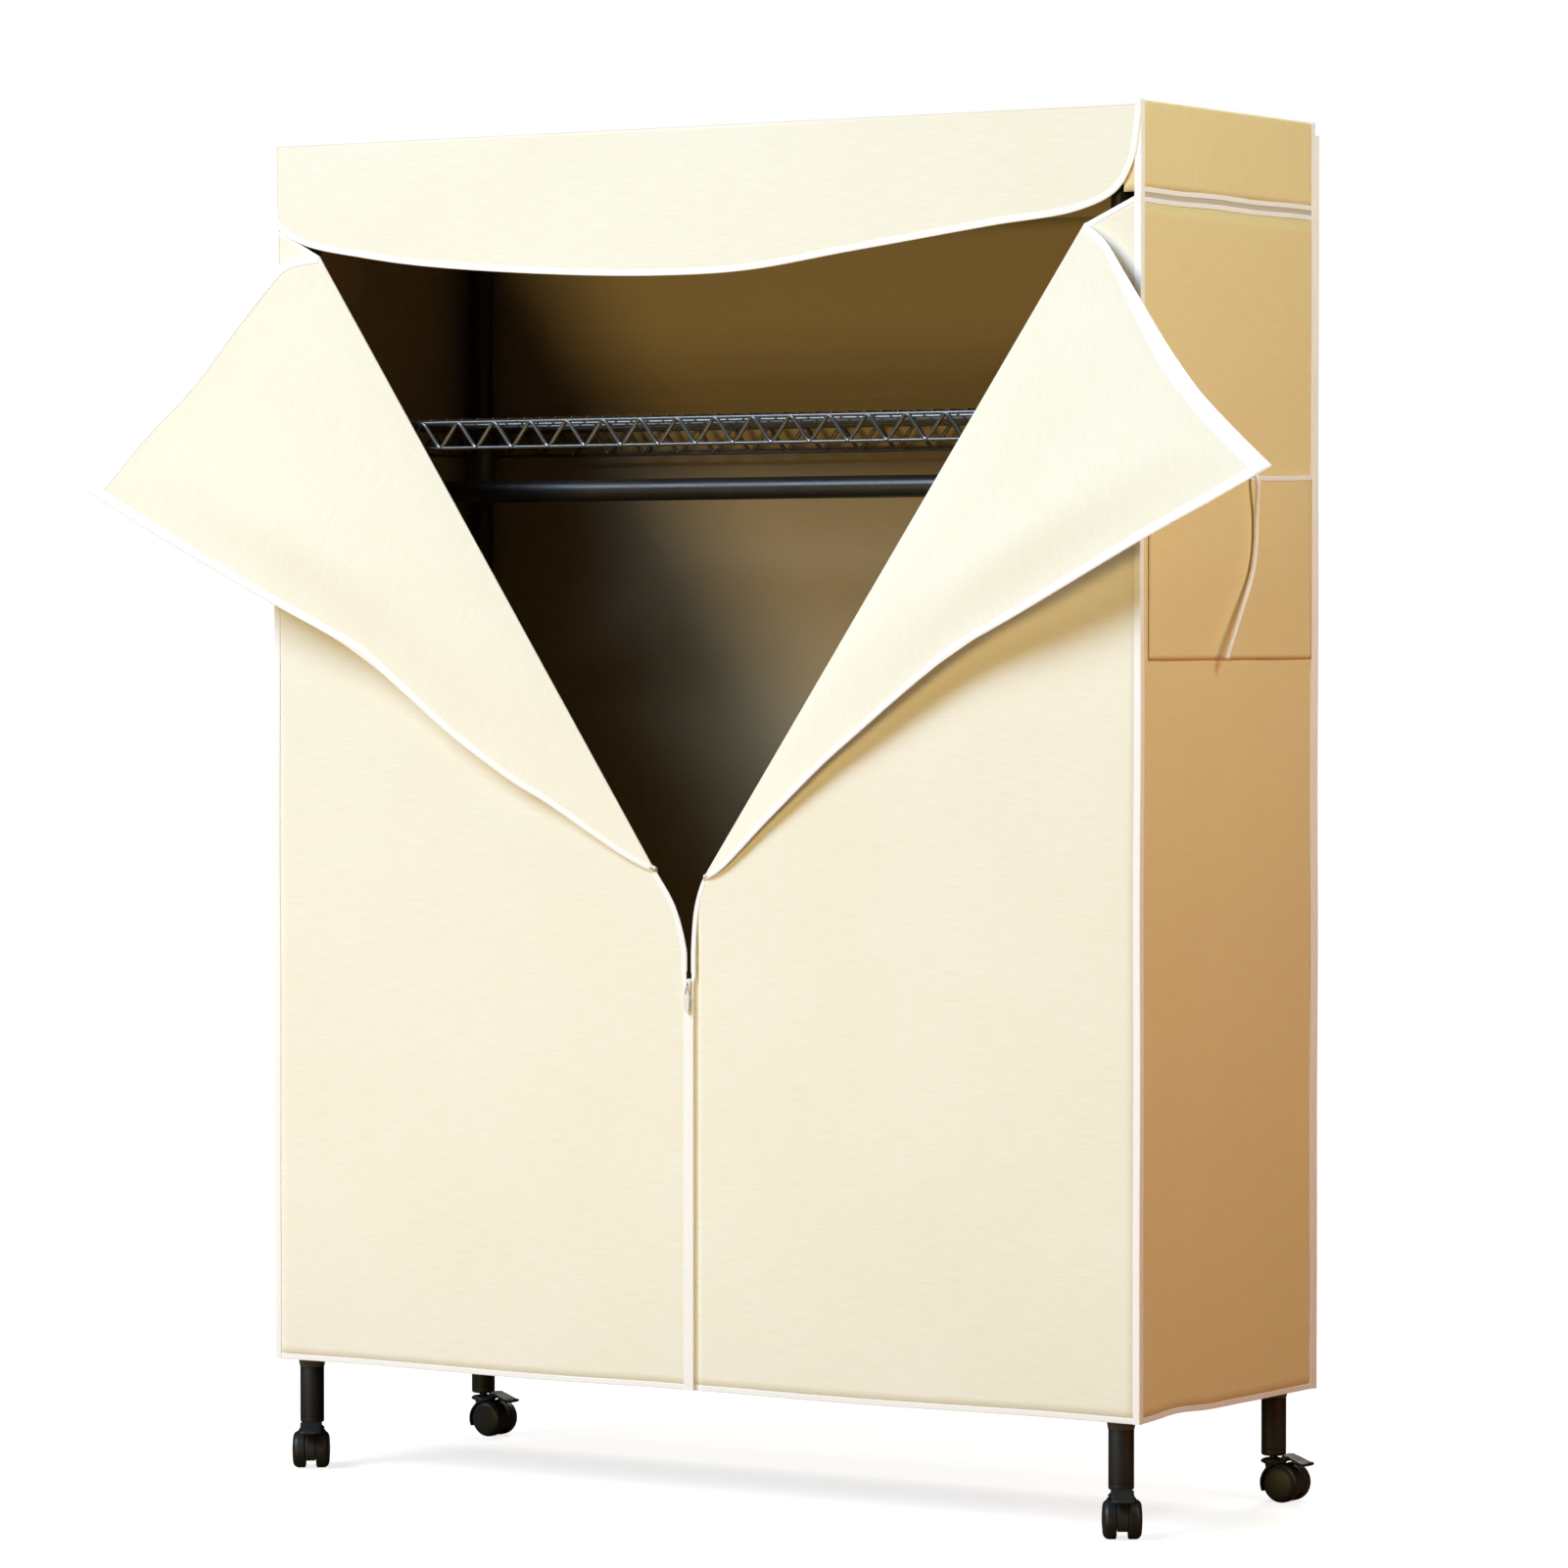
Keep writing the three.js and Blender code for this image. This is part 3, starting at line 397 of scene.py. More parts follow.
# The valance's lower edge: shares of half the cover's width and of its height
VALANCE_EDGE = (
    (-1, 0.949), (-0.985, 0.934), (-0.923, 0.9218), (-0.772, 0.9105), (-0.611, 0.9022),
    (-0.296, 0.8929), (-0.059, 0.8896), (0.131, 0.891), (0.374, 0.9022), (0.681, 0.9164),
    (0.871, 0.9249), (0.95, 0.9373), (0.985, 0.958), (1, 0.99),
)

# The tie's route from its seam on the pocket's binding, from the cover's middle
TIE_DIAMETER = 0.0064
TIE_SIDES = 14
TIE_ROUTE = (
    (0.6908, 0.031, 1.337), (0.6965, 0.031, 1.3365), (0.6995, 0.032, 1.329),
    (0.697, 0.036, 1.313), (0.693, 0.041, 1.290), (0.6916, 0.0415, 1.250),
    (0.6916, 0.034, 1.215), (0.6916, 0.0215, 1.191), (0.6916, 0.004, 1.164),
    (0.6916, -0.010, 1.142), (0.6916, -0.023, 1.122), (0.6916, -0.035, 1.103),
)
COVER_DEPTH = 0.460

# Directions
RIGHT = np.array([1.0, 0, 0])
FRONT = np.array([0, -1.0, 0])
BACK = np.array([0, 1.0, 0])
UP = np.array([0, 0, 1.0])


def points_of(*coordinates):
    """Points from their coordinates, each spread over the shape of all of them."""
    return np.stack(np.broadcast_arrays(*coordinates), axis=-1)


def unit(vectors):
    """Each vector divided by its own length."""
    vectors = np.asarray(vectors, float)
    return vectors / np.maximum(np.linalg.norm(vectors, axis=-1, keepdims=True), 1e-12)


def ease(t):
    """Rises from 0 to 1 as t does, flat at both ends: 3 t squared less 2 t cubed."""
    t = np.clip(t, 0, 1)
    return t * t * (3 - 2 * t)


def arch(t, power=1.0):
    """Half a sine wave over t from 0 to 1, raised to a power."""
    return np.sin(np.pi * np.clip(t, 0, 1)) ** power


def wave(turns):
    """A sine of so many full turns."""
    return np.sin(2 * np.pi * turns)


def quarter(count):
    """Angles of a quarter turn."""
    return np.linspace(0, math.pi / 2, count)


def full_turn(count):
    """Angles of a full turn, the last one short of the first."""
    return 2 * math.pi * np.arange(count) / count


def distances(path):
    """How far along the path each of its points lies."""
    return np.concatenate([[0], np.cumsum(np.linalg.norm(np.diff(path, axis=0), axis=1))])


def at_distances(path, values, at):
    """Values given at the path's points, read off at other distances along it."""
    run = distances(path)
    values = np.broadcast_to(np.asarray(values, float), np.shape(path))
    return np.stack([np.interp(at, run, values[:, k]) for k in range(values.shape[1])], axis=1)


def even_steps(curve, count):
    """The curve cut again into count points at equal distances along it."""
    return at_distances(curve, curve, np.linspace(0, distances(curve)[-1], count))


def smooth_curve(points, count):
    """A cubic Hermite curve through the points. Its parameter grows with the square root of
    each chord, and its slopes come from the neighbouring points."""
    points = np.asarray(points, float)
    chords = np.linalg.norm(np.diff(points, axis=0), axis=1)
    knots = np.concatenate([[0], np.cumsum(np.sqrt(chords))])
    slopes = np.gradient(points, knots, axis=0)
    fine = np.linspace(0, knots[-1], 10 * count)
    cell = np.clip(np.searchsorted(knots, fine, side="right") - 1, 0, len(knots) - 2)
    span = np.diff(knots)[cell][:, None]
    t = (fine[:, None] - knots[cell][:, None]) / span
    curve = (
        (2 * t**3 - 3 * t**2 + 1) * points[cell] + (t**3 - 2 * t**2 + t) * span * slopes[cell]
        + (3 * t**2 - 2 * t**3) * points[cell + 1] + (t**3 - t**2) * span * slopes[cell + 1]
    )
    return even_steps(curve, count)


def along_path(path):
    """The path's direction at each of its points."""
    return unit(np.gradient(path, axis=0))


def square_to(vectors, tangent):
    """The vectors with their share along the tangent taken out, as unit vectors."""
    return unit(vectors - np.sum(vectors * tangent, axis=1, keepdims=True) * tangent)


def axes_along(path, hint):
    """Two unit vectors square to the path at each point: one square to the hint, one near it."""
    tangent = along_path(path)
    across = unit(np.cross(tangent, np.broadcast_to(hint, path.shape)))
    return across, np.cross(across, tangent)


def superellipse(half_width, half_height, power, sides):
    """A closed profile: width times the cosine's sign and its size to 2 / power, height alike."""
    angle = full_turn(sides)
    round_it = points_of(np.cos(angle), np.sin(angle))
    return np.sign(round_it) * np.abs(round_it) ** (2 / power) * (half_width, half_height)


def swept(path, profile, across, away):
    """A closed profile carried along a path: path + across * first + away * second."""
    profile = np.broadcast_to(profile, (len(path),) + np.shape(profile)[-2:])
    across, away = (np.broadcast_to(axis, path.shape)[:, None] for axis in (across, away))
    return path[:, None] + profile[..., :1] * across + profile[..., 1:] * away


def turned(profile, sides, centre=(0, 0, 0), axis=(0, 0, 1), start=(1, 0, 0)):
    """A profile of radius and height turned about an axis: rings of radius * (cos, sin)."""
    axis, start = np.array(axis, float), np.array(start, float)
    angle = full_turn(sides)[:, None]
    round_it = np.cos(angle) * start + np.sin(angle) * np.cross(axis, start)
    profile = np.asarray(profile, float)
    return np.array(centre) + profile[:, :1, None] * round_it + profile[:, 1:, None] * axis


def linked(name, data):
    """A new object in the scene, at the origin."""
    made = bpy.data.objects.new(name, data)
    bpy.context.scene.collection.objects.link(made)
    return made


def settled_mesh(made):
    """The object's mesh as its modifiers or its curve settings leave it."""
    graph = bpy.context.evaluated_depsgraph_get()
    return bpy.data.meshes.new_from_object(made.evaluated_get(graph))


def settle(made):
    """Gives the object the mesh that its modifiers make of it, with its finish."""
    materials = list(made.data.materials)
    finished = settled_mesh(made)
    made.modifiers.clear()
    made.data = finished
    finished.name = made.name
    if not finished.materials:
        for material in materials:
            finished.materials.append(material)


class Making:
    """One mesh in the making: points, faces, and each face corner's place on the cloth."""

    def __init__(self):
        self.points, self.faces, self.places = [], [], []
        self.total = 0

    def grid(self, points, places=None, around=False, capped=False):
        """Rows and columns of points joined by quads. around joins the last column to the
        first, and capped closes the two end rows."""
        rows, columns = points.shape[:2]
        if places is None:
            places = np.zeros((rows, columns + 1, 2))
        i = np.arange(rows - 1)[:, None]
        j = np.arange(columns - (0 if around else 1))[None, :]
        k = (j + 1) % columns
        quads = points_of(
            i * columns + j, i * columns + k, (i + 1) * columns + k, (i + 1) * columns + j
        )
        corners = np.stack([
            places[i, j], places[i, j + 1], places[i + 1, j + 1], places[i + 1, j]
        ], axis=2)
        self.faces.extend((quads.reshape(-1, 4) + self.total).tolist())
        self.places.append(corners.reshape(-1, 2))
        if capped:
            ring = np.arange(columns)
            for cap, step, row in ((ring[::-1], -1, 0), (ring + (rows - 1) * columns, 1, rows - 1)):
                self.faces.append((cap + self.total).tolist())
                self.places.append(places[row, :columns][::step])
        self.points.append(points.reshape(-1, 3))
        self.total += rows * columns

    def tube(self, path, profile, across, away, places=None):
        """A closed profile carried along a path and closed at both ends."""
        self.grid(swept(path, profile, across, away), places, around=True, capped=True)

    def wire(self, path, radius, hint=(0, 0, 1), sides=8):
        """A wire: a circle carried along the path."""
        self.tube(path, superellipse(radius, radius, 2, sides), *axes_along(path, hint))

    def copies(self, template, faces, origin, axes):
        """A small closed template repeated, with an origin and three axes for each copy."""
        placed = origin[:, None] + np.einsum("pk,nkd->npd", template, axes)
        ids = np.arange(len(origin))[:, None, None] * len(template) + faces[None] + self.total
        self.faces.extend(ids.reshape(-1, faces.shape[1]).tolist())
        self.places.append(np.zeros((ids.size, 2)))
        self.points.append(placed.reshape(-1, 3))
        self.total += placed.shape[0] * placed.shape[1]

    def piece(self, name, finish, body=None, replaces=(), crease_deg=40.0, merge=0.0, outward=True):
        """The finished object in its place. finish is its material and the record's slot; the slot
        is not used here.
        """
        material, slot = finish
        mesh = bpy.data.meshes.new(name)
        mesh.from_pydata(np.concatenate(self.points), [], self.faces)
        layer = mesh.uv_layers.new(name="cloth_place")
        layer.data.foreach_set("uv", np.concatenate(self.places).astype(np.float32).ravel())
        if merge or outward:
            shape = bmesh.new()
            shape.from_mesh(mesh)
            if merge:
                bmesh.ops.remove_doubles(shape, verts=shape.verts, dist=merge)
            if outward:
                bmesh.ops.recalc_face_normals(shape, faces=shape.faces)
            shape.to_mesh(mesh)
            shape.free()
        mesh.polygons.foreach_set("use_smooth", [True] * len(mesh.polygons))
        mesh.set_sharp_from_angle(angle=math.radians(crease_deg))
        mesh.materials.append(material)
        made = linked(name, mesh)
        if replaces:
            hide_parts(*replaces)
        if body:
            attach(made, body)
        return made


def one_shell(points, name, finish, body=None, replaces=(), places=None, capped=True, **settings):
    """A piece that is a single shell, closed around."""
    making = Making()
    making.grid(points, places, around=True, capped=capped)
    return making.piece(name, finish, body, replaces, **settings)


# Camera
def make_camera():
    data = bpy.data.cameras.new("studio_camera")
    data.lens = LENS_MM
    data.sensor_width = SENSOR_MM
    data.clip_end = VIEW_DEPTH
    camera = linked("studio_camera", data)
    camera.location = CAMERA_PLACE
    camera.rotation_euler = Euler(
        (math.pi / 2 + math.radians(CAMERA_TILT_DEG), 0, math.radians(CAMERA_TURN_DEG))
    )
    bpy.context.scene.camera = camera


make_camera()


# Shader nodes
def feed(tree, node, links=None, values=None):
    """A node with plain values and incoming links at its inputs."""
    for key, value in (values or {}).items():
        node.inputs[key].default_value = value
    for key, socket in (links or {}).items():
        tree.links.new(socket, node.inputs[key])
    return node


def add(tree, kind, links=None, values=None, **settings):
    """A new node with its settings, its plain input values and its incoming links."""
    made = tree.nodes.new(kind)
    for name, value in settings.items():
        setattr(made, name, value)
    return feed(tree, made, links, values)


def maths(tree, operation, first, second=None, clamp=False):
    """One step of arithmetic on sockets or plain numbers."""
    made = add(tree, "ShaderNodeMath", operation=operation, use_clamp=clamp)
    for key, value in enumerate((first, second)):
        if isinstance(value, float):
            made.inputs[key].default_value = value
        elif value is not None:
            tree.links.new(value, made.inputs[key])
    return made.outputs[0]


def start_group(name, inputs, outputs):
    """An empty node group with named sockets, and its input and output nodes."""
    group = bpy.data.node_groups.new(name, "ShaderNodeTree")
    for label, kind, value in inputs:
        socket = group.interface.new_socket(label, in_out="INPUT", socket_type=f"NodeSocket{kind}")
        if value is not None:
            socket.default_value = value
    for label in outputs:
        group.interface.new_socket(label, in_out="OUTPUT", socket_type="NodeSocketFloat")
    return group, group.nodes.new("NodeGroupInput").outputs, group.nodes.new("NodeGroupOutput")


def noise_on(tree, vector, scale, detail=2.0, roughness=0.5):
    """Noise on a place that is first stretched by a scale along each axis."""
    stretched = add(tree, "ShaderNodeMapping", {"Vector": vector}, {"Scale": scale})
    return add(
        tree, "ShaderNodeTexNoise", {"Vector": stretched.outputs[0]},
        {"Scale": 1.0, "Detail": detail, "Roughness": roughness},
    ).outputs[0]


def sum_of(tree, terms):
    """Each socket times its weight, added up."""
    total = None
    for socket, weight in terms:
        values = {1: weight, 2: 0.0}
        step = add(tree, "ShaderNodeMath", {0: socket}, values, operation="MULTIPLY_ADD")
        if total is not None:
            tree.links.new(total, step.inputs[2])
        total = step.outputs[0]
    return total


def linen_group():
    """Cloth with thick and thin threads: long level slubs, fine level threads and short
    upright ones, as three stretched noises added up, with a slow drift of shade."""
    group, given, out = start_group(
        "linen threads", [("Place", "Vector", None), ("Slub", "Float", 1.0)], ["Height", "Shade"]
    )
    place = given["Place"]
    slubs = noise_on(group, place, (26, 560, 1), 3, 0.6)
    threads = noise_on(group, place, (120, 2300, 1), 1, 0.5)
    uprights = noise_on(group, place, (1700, 45, 1), 1, 0.5)
    drift = noise_on(group, place, (3.1, 4.3, 1), 2, 0.5)
    height = sum_of(group, [(slubs, 0.55), (threads, 0.3), (uprights, 0.15)])
    mixed = sum_of(group, [(slubs, 0.62), (threads, 0.16), (drift, 0.22)])
    centred = maths(group, "SUBTRACT", mixed, 0.5)
    scaled = maths(group, "MULTIPLY", centred, given["Slub"])
    feed(group, out, {"Height": height, "Shade": maths(group, "ADD", scaled, 0.5, clamp=True)})
    return group


def stitch_group():
    """A row of stitches on a strip: it is near where the place across the strip meets its
    line, and it is broken into dashes along the strip."""
    group, given, out = start_group(
        "binding stitches",
        [("Across", "Float", 0.0), ("Along", "Float", 0.0), ("Line", "Float", 0.001),
         ("Half width", "Float", 0.0004), ("Pitch", "Float", STITCH_PITCH),
         ("Dash share", "Float", 0.78)],
        ["Stitch"],
    )
    away = maths(group, "ABSOLUTE", maths(group, "SUBTRACT", given["Across"], given["Line"]))
    near = maths(group, "LESS_THAN", away, given["Half width"])
    part = maths(group, "FRACT", maths(group, "DIVIDE", given["Along"], given["Pitch"]))
    dash = maths(group, "LESS_THAN", part, given["Dash share"])
    feed(group, out, {"Stitch": maths(group, "MULTIPLY", near, dash)})
    return group


def grain_group():
    """Fine bumps of a powder coat or a moulding, and wide soft patches of handling."""
    group, given, out = start_group(
        "coat grain", [("Place", "Vector", None), ("Bumps per metre", "Float", 900.0)],
        ["Height", "Patches"],
    )
    place = {"Vector": given["Place"]}
    fine = add(
        group, "ShaderNodeTexNoise", {**place, "Scale": given["Bumps per metre"]},
        {"Detail": 3.0, "Roughness": 0.6},
    )
    patches = add(group, "ShaderNodeTexNoise", place, {"Scale": 22.0, "Detail": 4.0})
    feed(group, out, {"Height": fine.outputs[0], "Patches": patches.outputs[0]})
    return group


LINEN = linen_group()
STITCHES = stitch_group()
GRAIN = grain_group()


def start_material(name):
    material = bpy.data.materials.new(name)
    material.use_nodes = True
    tree = material.node_tree
    return material, tree, tree.nodes["Principled BSDF"]


def cut_place(tree):
    """A point's place on the cut cloth, in metres."""
    return add(tree, "ShaderNodeUVMap", uv_map="cloth_place").outputs[0]


def solid_place(tree):
    """A point's place in the object, in metres."""
    return add(tree, "ShaderNodeTexCoord").outputs["Object"]


def colour_between(tree, mask, first, second):
    """The first colour where the mask is 0, the second where it is 1."""
    ends = {"A": (*first, 1), "B": (*second, 1)}
    mix = add(tree, "ShaderNodeMix", {"Factor": mask}, ends, data_type="RGBA")
    return mix.outputs["Result"]


def ranged(tree, value, start, end):
    """A value from 0 to 1 spread between start and end."""
    ends = {"To Min": start, "To Max": end}
    return add(tree, "ShaderNodeMapRange", {"Value": value}, ends).outputs[0]


def bump(tree, height, distance, strength):
    values = {"Strength": strength, "Distance": distance}
    return add(tree, "ShaderNodeBump", {"Height": height}, values).outputs[0]


def cloth_material(name, pale, deep, slub):
    """Woven cloth on its own cut: slubs run across the door as it was cut."""
    material, tree, shader = start_material(name)
    threads = add(
        tree, "ShaderNodeGroup", {"Place": cut_place(tree)}, {"Slub": slub}, node_tree=LINEN
    ).outputs
    feed(tree, shader, {
        "Base Color": colour_between(tree, threads["Shade"], deep, pale),
        "Roughness": ranged(tree, threads["Height"], 0.95, 0.78),
        "Normal": bump(tree, threads["Height"], 0.00035, 0.5),
    }, {"Specular IOR Level": 0.25, "Sheen Weight": 0.12, "Sheen Roughness": 0.5})
    return material


def binding_material(name, tape, thread):
    """Woven tape with a row of stitches near its inner edge on each face."""
    material, tree, shader = start_material(name)
    place = cut_place(tree)
    split = add(tree, "ShaderNodeSeparateXYZ", {0: place}).outputs
    stitch = add(
        tree, "ShaderNodeGroup", {"Across": split[0], "Along": split[1]}, {"Line": 0.0014},
        node_tree=STITCHES,
    ).outputs[0]
    ribs = noise_on(tree, place, (2600, 160, 1), 1, 0.5)
    height = sum_of(tree, [(ribs, 0.5), (stitch, 0.9)])
    feed(tree, shader, {
        "Base Color": colour_between(tree, stitch, tape, thread),
        "Normal": bump(tree, height, 0.0003, 0.6),
    }, {"Roughness": 0.72, "Specular IOR Level": 0.3})
    return material


def coat_material(name, dark, worn, roughness, bumps, depth, coat=0.0, shine=0.5):
    """A hard finish with a fine grain, softly patched in shade and gloss."""
    material, tree, shader = start_material(name)
    grain = add(
        tree, "ShaderNodeGroup", {"Place": solid_place(tree)}, {"Bumps per metre": bumps},
        node_tree=GRAIN,
    ).outputs
    patches = grain["Patches"]
    feed(tree, shader, {
        "Base Color": colour_between(tree, patches, dark, worn),
        "Roughness": ranged(tree, patches, roughness - 0.08, roughness + 0.1),
        "Normal": bump(tree, grain["Height"], depth, 0.35),
    }, {"Specular IOR Level": shine, "Coat Weight": coat, "Coat Roughness": 0.25})
    return material


def metal_material(name, bright, worn, roughness):
    """Bare metal with a drawn grain."""
    material, tree, shader = start_material(name)
    scratches = noise_on(tree, solid_place(tree), (900, 900, 60), 2, 0.5)
    feed(tree, shader, {
        "Base Color": colour_between(tree, scratches, bright, worn),
        "Roughness": ranged(tree, scratches, roughness, roughness + 0.15),
    }, {"Metallic": 1.0})
    return material


# Finishes: each material and the record's slot that it goes by
CREAM = (
    cloth_material("cream linen cloth", (0.955, 0.94, 0.87), (0.855, 0.79, 0.59), slub=1.6),
    "cream_cloth",
)
# A darker, warmer copy of the cream cloth, used on the roof, sides, back and pocket: painted shade
# standing in for the shade that falls on the cover's sides.
SHADED_CREAM = (
    cloth_material("cream linen cloth in painted side shade", (0.895, 0.765, 0.46), (0.795, 0.635, 0.29), slub=1.6),
    "cream_cloth",
)
# A dark tan copy of the cloth for the faces that look into the cover: painted shade of the cover's
# inside.
INSIDE_SHADE = cloth_material(
    "cream cloth in painted inside shade", (0.42, 0.33, 0.20), (0.35, 0.265, 0.145), slub=1.2
)
BAND_CLOTH = (
    cloth_material("grey band cloth", (0.62, 0.57, 0.50), (0.52, 0.47, 0.40), slub=1.0),
    "white_binding",
)
WHITE = (
    binding_material("white binding tape", (0.96, 0.955, 0.945), (0.99, 0.987, 0.98)),
    "white_binding",
)
COAT = (
    coat_material(
        "black powder coat", (0.012, 0.0112, 0.0105), (0.022, 0.0205, 0.019),
        roughness=0.36, bumps=1500, depth=0.00012, coat=0.15,
    ),
    "powder_coat",
)
LEG_COAT = (
    coat_material(
        "satin black coat on the legs", (0.011, 0.0108, 0.0105), (0.017, 0.0166, 0.016),
        roughness=0.56, bumps=1500, depth=0.0001, shine=0.22,
    ),
    "powder_coat",
)
# The wires' coat is truly glossy, and its base is a lighter grey than the posts' black coat: painted
# highlight along the wires.
LIGHTENED_WIRE_COAT = (
    coat_material(
        "glossy powder coat on wires with painted highlight", (0.040, 0.039, 0.037), (0.062, 0.060, 0.057),
        roughness=0.30, bumps=1500, depth=0.00008, coat=1.0,
    ),
    "powder_coat",
)
PLASTIC = (
    coat_material(
        "black moulded plastic", (0.012, 0.0117, 0.0114), (0.019, 0.0184, 0.0176),
        roughness=0.52, bumps=2200, depth=0.00008, shine=0.3,
    ),
    "black_plastic",
)
TYRE = (
    coat_material(
        "black wheel plastic", (0.010, 0.0098, 0.0095), (0.016, 0.0156, 0.0152),
        roughness=0.42, bumps=1800, depth=0.00006, shine=0.35,
    ),
    "wheel_plastic",
)
STEEL = metal_material(
    "bright axle steel", (0.62, 0.61, 0.60), (0.496, 0.488, 0.48), roughness=0.3
)
ENAMEL = (
    coat_material(
        "white zip enamel", (0.80, 0.79, 0.76), (0.86, 0.85, 0.83),
        roughness=0.35, bumps=800, depth=0.00004, coat=0.3,
    ),
    "zip_enamel",
)


# The tie that hangs in front of the pocket
def make_tie():
    middle = np.array([MID_X, BACK_Y - COVER_DEPTH / 2, 0])
    path = smooth_curve(np.array(TIE_ROUTE) + middle, 40)
    radius = TIE_DIAMETER / 2
    run = distances(path)
    around = np.linspace(0, math.pi * TIE_DIAMETER, TIE_SIDES + 1)
    making = Making()
    making.tube(
        path, superellipse(radius, radius, 2, TIE_SIDES), *axes_along(path, (1, 0.001, 0)),
        points_of(around, run[:, None]),
    )
    tie = making.piece("pocket_tie_cord", WHITE, "rack", ["pocket_tie"])


make_tie()


# Rack: posts, feet and caps, each as an outline of radius and height
def tube_outline(bottom, top, edge):
    """A tube's wall, with a small bevel at the outside of both ends."""
    return [
        (TUBE_BORE, bottom), (TUBE_RADIUS - edge, bottom), (TUBE_RADIUS, bottom + edge),
        (TUBE_RADIUS, top - edge), (TUBE_RADIUS - edge, top), (TUBE_BORE, top),
        (TUBE_BORE, bottom),
    ]


def lower_post_outline(bottom, top, joint):
    """A tube that is thicker below the bottom shelf and ends in a spigot above its joint."""
    spigot = TUBE_BORE - FIT
    leg_top = low("bottom_shelf")[2] + BOTTOM_COLLAR_TRIM + LEG_TUCK
    return [
        (TUBE_BORE, bottom), (LEG_RADIUS - TUBE_EDGE, bottom), (LEG_RADIUS, bottom + TUBE_EDGE),
        (LEG_RADIUS, leg_top), (TUBE_RADIUS, leg_top + LEG_STEP),
        (TUBE_RADIUS, joint - TUBE_EDGE), (TUBE_RADIUS - TUBE_EDGE, joint), (spigot, joint),
        (spigot, top), (spigot - TUBE_WALL, top), (spigot - TUBE_WALL, joint),
        (TUBE_BORE, bottom),
    ]


def foot_outline(bottom, top, shoulder):
    """A plug with a socket for the castor's stem and a rounded lower rim."""
    rounding = points_of(
        LEG_RADIUS - FOOT_ROUNDING + FOOT_ROUNDING * np.sin(quarter(7)),
        bottom + FOOT_ROUNDING - FOOT_ROUNDING * np.cos(quarter(7)),
    )
    socket, plug = STEM_RADIUS + FOOT_SOCKET_ROOM, TUBE_BORE - TIGHT_FIT
    return [
        (socket, top), (socket, bottom), *rounding, (LEG_RADIUS, shoulder), (plug, shoulder),
        (plug, top), (socket, top),
    ]


def cap_outline(bottom, top):
    """A plug under a disc with a low dome."""
    plug, rim = TUBE_BORE - TIGHT_FIT, top - CAP_RIM
    dome = points_of(
        TUBE_RADIUS * np.cos(np.linspace(0, CAP_DOME_TURN, 8)),
        top - CAP_DOME + CAP_DOME * np.sin(quarter(8)),
    )
    return [(CAP_POLE, bottom), (plug, bottom), (plug, rim), (TUBE_RADIUS, rim), *dome]


def make_posts():
    for corner, centre in POSTS.items():
        ends = {
            part: (low(f"{part}_{corner}")[2], high(f"{part}_{corner}")[2])
            for part in ("lower_post", "upper_post", "post_foot", "post_cap")
        }
        joint, shoulder = ends["upper_post"][0] - FIT, ends["lower_post"][0] - FIT
        for piece, part, outline, finish in (
            ("lower_tube", "lower_post", lower_post_outline(*ends["lower_post"], joint), LEG_COAT),
            ("upper_tube", "upper_post", tube_outline(*ends["upper_post"], TUBE_EDGE), COAT),
            ("foot_plug", "post_foot", foot_outline(*ends["post_foot"], shoulder), PLASTIC),
            ("cap_disc", "post_cap", cap_outline(*ends["post_cap"]), PLASTIC),
        ):
            solid = piece == "cap_disc"
            one_shell(
                turned(outline, 48, centre * (1, 1, 0)), f"{piece}_{corner}", finish, "rack",
                [f"{part}_{corner}"], capped=solid, merge=0.0 if solid else SAME_POINT,
            )


make_posts()


# Rack: wire shelves
def zigzag_wave(run, valley):
    """A wave that is straight between rounded bends: the arcsine of a sine just short of 1."""
    phase = 2 * math.pi * (run - valley) / ZIGZAG_PITCH - math.pi / 2
    return np.arcsin(ZIGZAG_SHARPNESS * np.sin(phase)) / math.asin(ZIGZAG_SHARPNESS)


def collar_outline(bottom, top, taper_top):
    """A collar about the post: a narrow foot, a long taper and a straight head."""
    bore = TUBE_RADIUS + TIGHT_FIT
    lip, shoulder, shoulder_rise = COLLAR_FOOT
    return [
        (bore, bottom), (bore + lip, bottom), (bore + shoulder, bottom + shoulder_rise),
        (COLLAR_RADIUS - COLLAR_STEP, taper_top - COLLAR_EDGE),
        (COLLAR_RADIUS, taper_top + COLLAR_EDGE), (COLLAR_RADIUS, top - COLLAR_EDGE),
        (COLLAR_RADIUS - COLLAR_EDGE, top), (bore, top), (bore, bottom),
    ]


